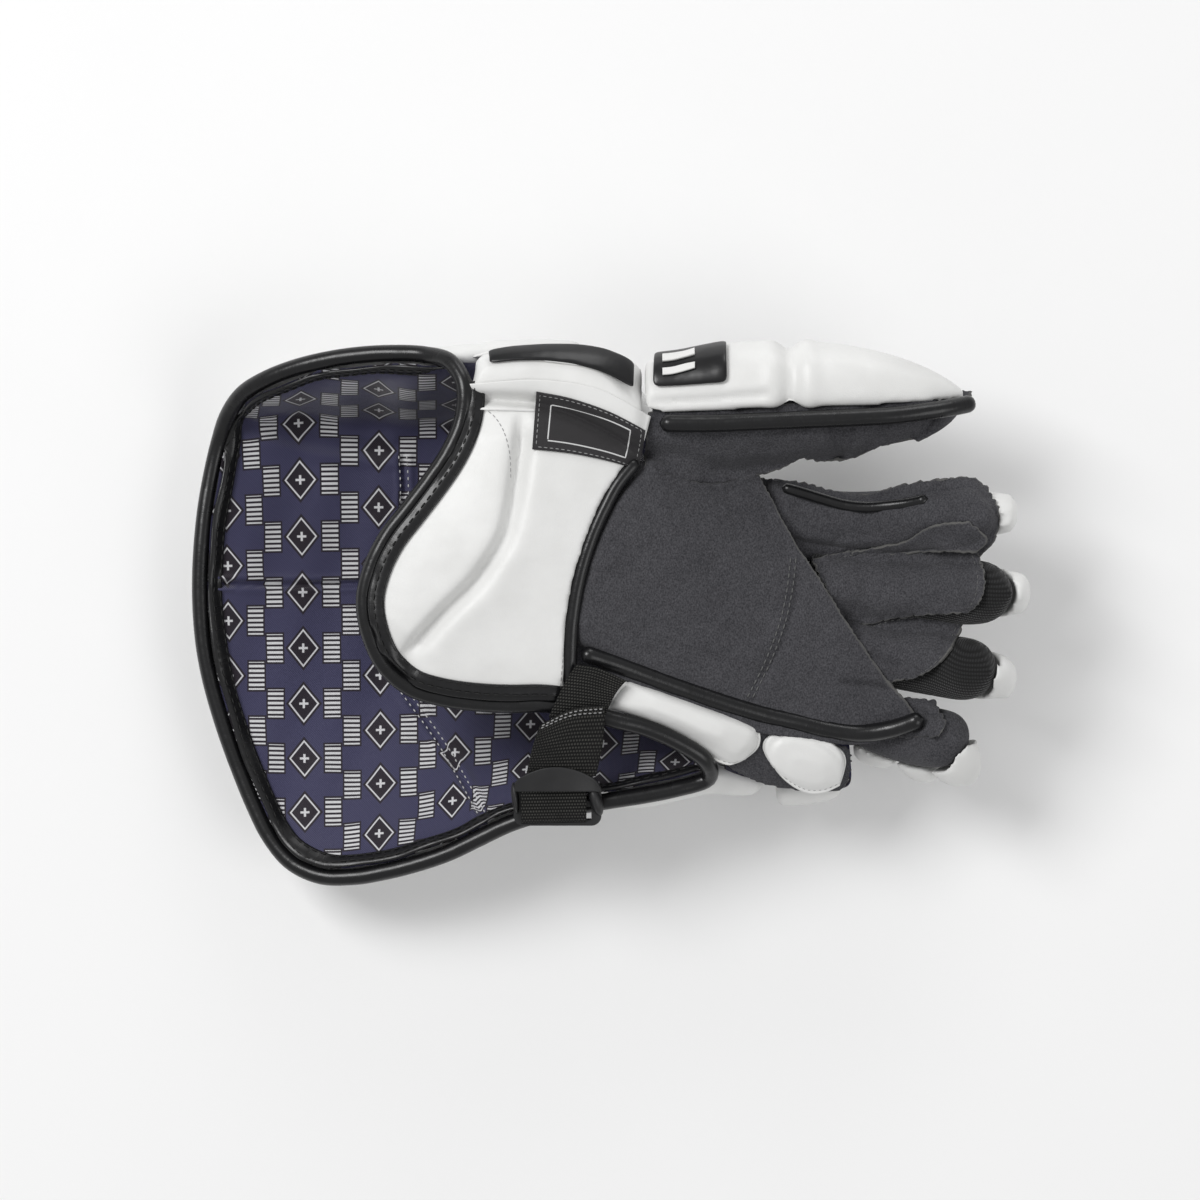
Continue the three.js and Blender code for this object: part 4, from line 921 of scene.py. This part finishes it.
# Rolls: black leather over a cord, along the flap's seam, the palm's outer side, the thumb and the first finger.
FLAP_SEAM = [(-15.9, -29.6, 77.9), (-15.6, -17.7, 79.3), (-15.0, -5.7, 80.6), (-13.4, 6.1, 81.7), (-10.8, 17.8, 82.5),
             (-7.1, 29.2, 83.0), (-2.3, 40.3, 83.1), (3.4, 50.8, 82.7), (11.0, 60.0, 81.3)]
PALM_ROLL = [(-11.6, -16.5, 79.0), (0.6, -20.4, 75.6), (12.7, -24.8, 72.4), (24.8, -29.3, 69.6), (37.1, -33.6, 67.3),
             (49.5, -37.7, 65.1), (62.0, -41.3, 62.6), (74.7, -44.2, 60.3), (87.5, -47.2, 58.9), (100.6, -48.7, 58.6),
             (113.5, -46.8, 60.8), (125.1, -42.7, 65.5)]
THUMB_WELT = [(19.8, 74.5, 82.1), (31.4, 74.4, 82.5), (43.1, 74.5, 82.8), (54.8, 75.0, 83.1), (66.4, 75.5, 83.3),
              (78.1, 76.0, 83.3), (89.7, 76.5, 83.1), (101.4, 77.0, 82.9), (113.0, 77.7, 82.4), (124.5, 79.1, 80.8),
              (135.4, 80.9, 77.4), (145.1, 83.0, 71.3)]
INDEX_WELT = [(68.9, 49.6, 56.6), (77.1, 47.3, 56.6), (85.6, 44.7, 56.8), (94.2, 42.4, 57.2), (102.9, 41.6, 58.0),
              (111.4, 42.2, 59.6), (119.4, 43.2, 62.6), (126.8, 44.8, 67.0)]
for name, node, points, radius in [
    ("flap_seam_roll", "flap_binding", FLAP_SEAM, 0.0028),
    ("palm_edge_roll", "palm_roll", PALM_ROLL, 0.0036),
    ("thumb_roll", "thumb_welt", THUMB_WELT, 0.0035),
    ("index_roll", "index_welt", INDEX_WELT, 0.0022),
]:
    line = curved(points, 0.0014)
    from_end = np.minimum(np.arange(len(line)), np.arange(len(line))[::-1]) * 0.0014 / radius
    ends = np.sqrt(np.clip(1 - (1 - np.clip(from_end, 0, 1)) ** 2, 0.02, 1))
    roll = swept(name, line, circle(radius, 14), scale=ends)
    fit(roll, BLACK, "black_leather", node)


# Side wall: suede from the palm's roll down to the back pads, with two flat pads sewn on it.
wall = padding("side_wall", "wall_suede", voxel=0.0012, rounds=4, levels=1)
fit(wall, SUEDE, "suede", "side_wall", fill=0.5)
SIDE_PADS = {
    "side_pad_long": (
        [(7.4, -26.3), (2.2, -32.3), (-1.8, -37.9)],
        [(59.4, -46.3), (60.2, -50.7), (59.0, -54.7), (54.2, -59.1)],
        [(7.4, -26.3), (20.2, -30.7), (36.2, -36.7), (50.2, -41.9), (59.4, -46.3)],
        [(-1.8, -37.9), (12.2, -45.1), (28.2, -52.7), (45.0, -60.7), (50.2, -60.7), (54.2, -59.1)],
    ),
    "side_pad_oval": (
        [(65.4, -48.7), (61.8, -51.5), (61.4, -55.5), (65.0, -61.5)],
        [(86.6, -51.5), (92.6, -55.5), (94.6, -60.3), (92.2, -69.9)],
        [(65.4, -48.7), (72.2, -48.3), (80.2, -49.5), (86.6, -51.5)],
        [(65.0, -61.5), (71.0, -68.3), (78.6, -72.7), (85.8, -72.7), (92.2, -69.9)],
    ),
}
wall_bed = surface_of(nodes["side_wall"], nodes["side_pad_long"], nodes["side_pad_oval"])
for name, edges in SIDE_PADS.items():
    sheet = cut(*edges, 40, 90)
    z = settled(heights(sheet, wall_bed), 0.0004, 40)
    s_share, t_share = np.meshgrid(np.linspace(0, 1, 40), np.linspace(0, 1, 90))
    size = np.minimum(np.ptp(sheet[:, :, 0], axis=1).max(), 0.02) * 1.0
    rim = np.minimum(np.minimum(s_share, 1 - s_share) * 0.020, np.minimum(t_share, 1 - t_share) * 0.060)
    z = z + 0.0016 * np.clip((rim - 0.0014) / 0.0022, 0, 1) ** 0.6 - 0.0004 * np.exp(-(((rim - 0.0015) / 0.0005) ** 2))
    rows = np.dstack([sheet, z])
    pad = strip(name + "_leather", rows, 0.0012)
    fit(pad, WHITE, "white_leather", name, fill=0.7)
    border = np.concatenate([rows[2:-2, 2], rows[-3, 2:-2], rows[-3:2:-1, -3], rows[2, -3:2:-1]]) + (0, 0, 0.0006)
    fit(stitched(name + "_stitches", spaced(border, 0.001), (0, 0, 1), 0.0014, 0.0009, 0.00018), GREY_THREAD,
        "white_leather")


# Back of the hand: foam pads under white leather, three over the knuckles' back and four at the fingers' roots.
for i in (1, 2, 3):
    pad = padding(f"hand_pad_rear_{i}", f"rear_pad_{i}", voxel=0.002, rounds=8)
    fit(pad, WHITE, "white_leather", f"hand_pad_rear_{i}", fill=0.75)
for i in (1, 2, 3, 4):
    pad = padding(f"hand_pad_front_{i}", f"front_pad_{i}", voxel=0.002, rounds=8)
    fit(pad, WHITE, "white_leather", f"hand_pad_front_{i}", fill=0.75)


# Fingers: a stall each, of suede or of black knitted mesh, with three foam pads on its back.
def knitted_mesh():
    """Black knitted mesh with fine ribs and small holes."""
    finish = Finish("knitted_mesh", 0.85, Specular_IOR_Level=0.25, Sheen_Weight=0.15)
    x, y, z = finish.place.parts()
    rib = ((y + z * 0.6) * (2 * math.pi / 0.0016)).sine()
    hole = ((x + z * 0.4) * (2 * math.pi / 0.0011)).sine()
    weave = (rib * 0.5 + 0.5) * (hole * 0.35 + 0.65)
    finish.wear("Base Color", weave.blend((0.004, 0.004, 0.004, 1), (0.022, 0.022, 0.023, 1)))
    finish.raise_by(weave, 0.0006, 0.8)
    return finish.material


MESH = knitted_mesh()
for finger in ("index", "middle", "ring", "little"):
    node = f"{finger}_stall"
    knit = finger in ("middle", "ring")
    stall = copy_of(node, f"{finger}_cloth")
    apply(stall, "SUBSURF", levels=2, render_levels=2)
    fit(stall, MESH if knit else SUEDE, "mesh" if knit else "suede", node, fill=0.4)
    for i in (1, 2, 3):
        node = f"{finger}_pad_{i}"
        pad = padding(node, f"{finger}_foam_{i}", voxel=0.0015, rounds=3)
        if i == 3:
            places = points_of(pad)
            far = places[:, 0].max() - 0.007
            reach = np.clip((places[:, 0] - far) / 0.004, 0, 1)
            middle = np.median(places[reach > 0, 1])
            places[:, 0] += (0.0050 if finger == "index" else 0.0012) * reach
            places[:, 1] += (places[:, 1] - middle) * 0.16 * reach
            move_to(pad, places)
        fit(pad, WHITE, "white_leather", node, fill=0.75)
# Palm side of the fingers: a suede panel each, cut with raw edges and sewn down near them, side by side.
FINGER_PANELS = {
    "index": ((
        [(74.6, 20.5), (62.6, 36.5), (56.2, 53.3)],
        [(146.6, 21.3), (153.4, 28.5), (155.0, 39.7), (149.8, 49.7)],
        [(74.6, 20.5), (90.6, 21.3), (109.8, 24.1), (128.2, 25.3), (139.4, 24.1), (146.6, 21.3)],
        [(56.2, 53.3), (77.4, 51.3), (89.0, 48.1), (102.6, 46.5), (113.4, 49.7), (130.2, 52.5), (143.4, 52.9), (149.8, 49.7)],
    ), [([(96.2, 48.9), (102.6, 40.5), (104.2, 28.5)], 0.004, 0.0026), ([(72.2, 44.5), (88.2, 36.5), (94.2, 26.5)], 0.006, 0.0018),
        ([(128.2, 50.9), (136.2, 42.5), (134.6, 28.5)], 0.005, 0.0022)]),
    "middle": ((
        [(93.0, -3.5), (86.6, 8.5), (81.0, 20.5)],
        [(142.6, -0.7), (147.4, 4.5), (149.0, 14.9), (146.2, 25.3)],
        [(93.0, -3.5), (103.4, -5.1), (113.0, -2.7), (128.2, -1.1), (142.6, -0.7)],
        [(81.0, 20.5), (92.2, 23.3), (110.2, 26.1), (128.2, 27.3), (146.2, 25.3)],
    ), [([(101.0, 20.5), (103.4, 8.5), (101.0, -2.7)], 0.005, 0.0012)]),
    "ring": ((
        [(105.0, -31.5), (98.6, -17.5), (91.4, -4.3)],
        [(121.0, -27.1), (130.6, -21.5), (137.4, -13.1), (142.6, -3.1)],
        [(105.0, -31.5), (110.2, -29.1), (116.2, -27.5), (121.0, -27.1)],
        [(91.4, -4.3), (105.0, -4.3), (113.4, -1.9), (128.2, -0.3), (142.6, -2.3)],
    ), [([(103.4, -15.5), (110.2, -22.7), (116.2, -25.9)], 0.004, 0.0016)]),
    "little": ((
        [(94.2, -50.7), (91.4, -39.5), (89.8, -29.1)],
        [(131.4, -49.5), (133.8, -44.3), (129.8, -36.3)],
        [(94.2, -50.7), (108.2, -50.7), (121.0, -49.9), (131.4, -49.5)],
        [(89.8, -29.1), (101.0, -32.3), (117.0, -34.7), (129.8, -36.3)],
    ), []),
}
for finger, (edges, folds) in FINGER_PANELS.items():
    parts = [nodes[name] for name in (f"{finger}_stall", f"{finger}_patch") if name in nodes]
    cover, rows = sheeted(f"{finger}_suede", edges, surface_of(*parts), 0.0014, rounds=50, wide=56, long=90,
                          sag=0.0018, raw=0.0013, creases=folds, wrinkle=0.0009, drop=0.006)
    patch = [f"{finger}_patch"] if f"{finger}_patch" in nodes else []
    fit(cover, SUEDE, "suede", *patch)
    declare(cover, rows, "laid", f"{finger}_stall", *patch)
    if finger == "index":
        fold, _ = sheeted("index_fold", (
            [(97.0, 20.9), (97.0, 23.7)],
            [(145.8, 23.3), (150.2, 28.5), (142.6, 35.7)],
            [(97.0, 20.9), (112.2, 22.5), (128.2, 23.7), (145.8, 23.3)],
            [(97.0, 23.7), (111.8, 26.5), (118.6, 28.1), (128.6, 34.1), (142.6, 35.7)],
        ), surface_of(cover), 0.0012, lift=0.0009, rounds=20, wide=16, long=70, raw=0.0008, drop=0.004)
        fit(fold, SUEDE, "suede")
    if patch:
        hem = np.concatenate([rows[12:-5, -4], rows[-5, 5:-4][::-1]]) + (0, 0, 0.0009)
        fit(stitched(f"{finger}_stitches", hem, (0, 0, 1), 0.0017, 0.0009, 0.00022), DARK_THREAD, "suede")


# Thumb: a suede stall inside a long foam shell of white leather.
stall = copy_of("thumb_stall", "thumb_cloth")
apply(stall, "SUBSURF", levels=2, render_levels=2)
fit(stall, SUEDE, "suede", "thumb_stall", fill=0.4)
THUMB_EDGES = (
    [(13.8, 54.9), (14.6, 68.5), (15.4, 78.9)],
    [(141.0, 82.5), (143.4, 85.3), (145.0, 87.7)],
    [(13.8, 54.9), (39.8, 50.5), (58.2, 54.5), (67.4, 56.5), (76.6, 61.3), (85.8, 60.1), (95.8, 60.9), (104.2, 64.5), (117.8, 68.5), (124.2, 68.5), (135.0, 75.3), (141.0, 82.5)],
    [(15.4, 78.9), (49.0, 80.5), (85.8, 83.7), (113.0, 86.9), (145.0, 87.7)],
)
THUMB_FOLDS = [
    ([(85.0, 79.7), (90.6, 71.7), (91.4, 59.7)], 0.0024, 0.0042),
    ([(118.2, 68.5), (126.2, 74.9), (133.8, 85.3)], 0.0024, 0.0036),
    ([(94.6, 62.5), (96.2, 68.5), (94.6, 74.5)], 0.0018, 0.0022),
    ([(36.2, 74.5), (44.2, 64.5), (45.0, 53.3)], 0.0060, 0.0016),
    ([(64.2, 76.5), (66.6, 66.5), (64.2, 56.5)], 0.0050, 0.0012),
    ([(103.4, 83.7), (106.6, 74.5), (105.0, 64.5)], 0.0040, 0.0014),
]
thumb_suede, thumb_rows = sheeted("thumb_suede", THUMB_EDGES, surface_of(nodes["thumb_stall"], nodes["palm_panel"]),
                                  0.0014, rounds=40, wide=44, long=140, sag=0.0016, raw=0.0012, creases=THUMB_FOLDS,
                                  wrinkle=0.0009, drop=0.016)
fit(thumb_suede, SUEDE, "suede")
declare(thumb_suede, thumb_rows, "laid", "thumb_stall")
shell = padding("thumb_shell", "thumb_leather", voxel=0.0016, rounds=8)
places = points_of(shell)
reach = np.clip((0.046 - places[:, 0]) / 0.026, 0, 1)
places[:, 0] -= 0.0085 * reach
places[:, 1] -= 0.0012 * reach
move_to(shell, places)
press(shell, [(71.4, 79.7), (72.2, 92.5), (71.0, 109.3)], 0.0035, 0.0026, lift=0.0010, facing=-1)
press(shell, [(15.4, 82.9), (36.2, 83.7), (64.2, 86.1)], 0.0016, 0.0010, lift=0.0003, facing=-1)
fit(shell, WHITE, "white_leather", "thumb_shell", fill=0.8)


# Badges and label.
badges = {}
for node in ("side_badge", "thumb_badge"):
    badge = badges[node] = copy_of(node, node + "_leather")
    apply(badge, "SUBSURF", levels=2, render_levels=2)
    if node == "thumb_badge":
        places = points_of(badge)
        places[:, 0] -= 0.0085 * np.clip((0.046 - places[:, 0]) / 0.026, 0, 1)
        move_to(badge, places)
    fit(badge, BLACK, "black_leather", node)
TRIMS = {
    "side_badge_border": (surface_of(panel, lap), [
        [(-54.2, 100.9), (-41.0, 103.3), (-29.4, 99.7), (-11.8, 97.3), (7.8, 93.7)],
        [(-54.2, 102.5), (-41.0, 105.3), (-29.0, 101.7), (-11.8, 99.3), (8.2, 96.1)]]),
    "thumb_badge_bar_1": (surface_of(badges["thumb_badge"]), [
        [(21.0, 93.7), (25.0, 94.1), (29.8, 95.3), (33.8, 96.5)], [(21.0, 96.5), (25.0, 96.9), (29.8, 98.1), (33.8, 98.9)]]),
    "thumb_badge_bar_2": (surface_of(badges["thumb_badge"]), [
        [(21.0, 99.3), (25.0, 99.7), (29.8, 100.9), (33.8, 102.1)], [(21.0, 102.1), (25.0, 102.5), (29.8, 103.3), (33.8, 104.5)]]),
}
for name, (bed, (low, high)) in TRIMS.items():
    trim, _ = sheeted(name, ([low[0], high[0]], [low[-1], high[-1]], low, high), bed, 0.0011, lift=0.0006, rounds=6,
                      wide=8, long=60)
    fit(trim, WHITE, "white_leather")


def woven_satin():
    finish = Finish("woven_satin", 0.6, Specular_IOR_Level=0.35, Sheen_Weight=0.2)
    x, y, z = finish.place.parts()
    weft = ((x + y * 0.4) * (2 * math.pi / 0.0006)).sine()
    warp = ((y - x * 0.4) * (2 * math.pi / 0.0006)).sine()
    weave = weft * warp * 0.5 + 0.5
    finish.wear("Base Color", weave.blend((0.009, 0.008, 0.009, 1), (0.02, 0.018, 0.02, 1)))
    finish.raise_by(weave, 0.0002, 0.6)
    return finish.material


LABEL_EDGES = (
    [(-30.6, 64.1), (-29.8, 75.7), (-29.0, 86.9)],
    [(11.0, 56.1), (13.0, 63.7), (14.2, 71.7)],
    [(-30.6, 64.1), (-15.8, 62.5), (-1.4, 59.7), (11.0, 56.1)],
    [(-29.0, 86.9), (-15.0, 84.1), (0.2, 78.9), (14.2, 71.7)],
)
label, label_rows = sheeted("label_satin", LABEL_EDGES, surface_of(flap, panel, lap), 0.0008, lift=0.0003, rounds=25,
                            wide=40, long=60)
fit(label, woven_satin(), "woven_label", "label")
declare(label, label_rows, "laid", "flap_leather", "side_leather")
edge = np.concatenate([label_rows[2:-2, 2], label_rows[-3, 2:-2], label_rows[-3:2:-1, -3], label_rows[2, -3:2:-1]])
fit(stitched("label_stitches", edge + (0, 0, 0.0005), (0, 0, 1), 0.0015, 0.0008, 0.0002), GREY_THREAD, "woven_label")
frame_line = np.concatenate([label_rows[8:-8, 7], label_rows[-9, 7:-7], label_rows[-9:8:-1, -8], label_rows[8, -8:7:-1]])
fit(swept("label_frame", spaced(frame_line + (0, 0, 0.0005), 0.001), circle(0.0003, 6)), WHITE_THREAD, "woven_label")


# Strap: black webbing in two lengths. The short one is sewn under the palm's roll, and the long one has a
# double-stitched hem over its end and runs down across the slit into the buckle.
def ribbed_webbing():
    """Rows of dotted picks across the band, each row shifted by half a pick, and black between them."""
    finish = Finish("ribbed_webbing", 0.8, Specular_IOR_Level=0.25)
    x, y, _ = finish.cloth.parts()
    row = (x / 0.0013).floor()
    rib = ((x / 0.0013) % 1.0 - 0.5) * 2.0
    pick = ((y / 0.0011 + (row % 2.0) * 0.5) % 1.0 - 0.5) * 2.0
    height = (rib * rib * -1.0 + 1.0).most(0.0) * (pick * pick * -0.7 + 1.0).most(0.0)
    worn = finish.place.noise(160, 2)
    dots = height.step(0.55, 0.85) * (worn * 0.9 + 0.25)
    finish.wear("Base Color", dots.blend((0.0035, 0.0035, 0.0035, 1), (0.058, 0.057, 0.052, 1)))
    finish.raise_by(height, 0.0006, 0.8)
    return finish.material


WEBBING = ribbed_webbing()
STRAP_HEIGHT = [(-69.3, 66.2), (-63.3, 69.0), (-54.5, 75.0), (-44.6, 80.2), (-34.7, 82.4), (-15.0, 82.4)]


def webbing(name, edges, lift, *nodes):
    """A length of webbing inside four edges, at the strap's height over the glove."""
    sheet = cut(*edges, 30, 60)
    above, below = np.array(STRAP_HEIGHT).T / 1000
    z = np.interp(sheet[:, :, 1], above, below) + np.linspace(lift[0], lift[1], 60)[:, None]
    for _ in range(12):
        framed = np.pad(z, 1, mode="edge")
        z = (framed[:-2, 1:-1] + framed[2:, 1:-1] + framed[1:-1, :-2] + framed[1:-1, 2:] + 2 * z) / 6
    rows = np.dstack([sheet, z])
    band_of_web = strip(name, rows, 0.0012)
    fit(band_of_web, WEBBING, "webbing", *nodes)
    declare(band_of_web, rows, "laid", *nodes)
    return rows


webbing("strap_anchor_web", (
    [(-13.0, -21.1), (-3.8, -22.7), (6.6, -27.5)],
    [(-24.2, -41.9), (-13.8, -42.7), (-2.2, -41.9)],
    [(-13.0, -21.1), (-17.4, -27.5), (-24.2, -41.9)],
    [(6.6, -27.5), (2.6, -32.3), (-2.2, -41.9)],
), (0.0010, 0.0006), "strap_anchor")
band_rows = webbing("strap_band_web", (
    [(-27.0, -44.7), (-15.0, -38.7), (-1.8, -37.1)],
    [(-33.0, -64.3), (-19.8, -65.5), (-5.4, -65.5)],
    [(-27.0, -44.7), (-29.8, -51.5), (-33.0, -64.3)],
    [(-1.8, -37.1), (-2.6, -51.5), (-5.4, -65.5)],
), (0.0026, 0.0010), "strap_band")
for k in (3, 6):
    fit(stitched(f"hem_stitches_{k}", band_rows[k] + (0, 0, 0.0007), (0, 0, 1), 0.0013, 0.0007, 0.00028), GREY_THREAD,
        "webbing")
LOOP = [(-68.6, 66.6), (-71.0, 67.2), (-75.0, 67.0), (-79.5, 65.9), (-82.6, 64.3), (-84.0, 61.8), (-83.0, 59.4),
        (-79.5, 58.2), (-74.0, 58.6)]
around = spaced(np.array([(0, y, z) for y, z in LOOP]) / 1000, 0.0006)
loop_rows = np.array([[(x, p[1] + 0.02 * (x + 0.022), p[2]) for x in np.linspace(-0.0352, -0.0092, 26)] for p in around])
loop = strip("buckle_loop_web", loop_rows, 0.0013)
fit(loop, WEBBING, "webbing", "buckle_loop")
declare(loop, loop_rows, "folded", "buckle")


# Buckle: a slide of moulded black plastic. Its frame stands in the webbing, and an arched plate over the strap
# and two rounded cheeks hold it.
def moulded():
    """Satin black plastic with a fine spark-eroded grain, and a little paler where it is rubbed."""
    finish = Finish("moulded_plastic", 0.42, Specular_IOR_Level=0.45)
    grain = finish.place.noise(3000, 2)
    rubbed = finish.place.noise(110, 3)
    finish.wear("Base Color", (grain * 0.3 + rubbed * 0.7).blend((0.009, 0.009, 0.0095, 1), (0.021, 0.021, 0.022, 1)))
    finish.wear("Roughness", rubbed * 0.2 + 0.32)
    finish.raise_by(grain, 0.0001, 0.5)
    return finish.material


PLASTIC = moulded()
slide = copy_of("buckle", "slide_frame")
apply(slide, "BEVEL", width=0.0006, segments=3, limit_method="ANGLE", angle_limit=math.radians(40))
fit(slide, PLASTIC, "buckle_plastic", "buckle")

bpy.ops.object.select_all(action="DESELECT")
bpy.ops.mesh.primitive_grid_add(x_subdivisions=28, y_subdivisions=8, size=1)
hood = bpy.context.object
hood.name = "buckle_hood"
places = points_of(hood)
across, back = places[:, 0] + 0.5, places[:, 1] + 0.5
x = -0.0378 + 0.0335 * across
arch = 0.0068 * np.sin(math.pi * across) ** 0.7
y = -0.0716 + (0.0030 + arch) * back
z = 0.0678 + 0.0018 * np.sin(math.pi * across) + 0.0020 * back - 0.0016 * (2 * across - 1) ** 4
move_to(hood, np.column_stack([x, y, z]))
apply(hood, "SOLIDIFY", thickness=0.0018, offset=0)
apply(hood, "BEVEL", width=0.0006, segments=3, limit_method="ANGLE", angle_limit=math.radians(40))
fit(hood, PLASTIC, "buckle_plastic")

for name, middle, size, turn in [("cheek_right", (-0.0056, -0.0752, 0.0634), (0.0052, 0.0136, 0.0090), 0.30),
                                 ("cheek_left", (-0.0376, -0.0745, 0.0634), (0.0030, 0.0128, 0.0080), 0.12)]:
    bpy.ops.object.select_all(action="DESELECT")
    bpy.ops.mesh.primitive_uv_sphere_add(segments=32, ring_count=18, radius=0.5, location=middle, rotation=(0.2, 0, turn))
    cheek = bpy.context.object
    cheek.name = f"buckle_{name}"
    cheek.scale = size
    bpy.ops.object.transform_apply(location=True, rotation=True, scale=True)
    fit(cheek, PLASTIC, "buckle_plastic")


# Floor: pale paper under the glove.
bpy.ops.object.select_all(action="DESELECT")
bpy.ops.mesh.primitive_plane_add(size=8, location=(0, 0, -0.0005))
floor = bpy.context.object
floor.name = "paper_floor"
bpy.ops.object.transform_apply(location=True, rotation=True, scale=True)
paper = Finish("pale_paper", 0.9, Specular_IOR_Level=0.1)
paper.wear("Base Color", paper.place.noise(9, 2).blend((0.86, 0.86, 0.86, 1), (0.88, 0.88, 0.88, 1)))
floor.data.materials.append(paper.material)
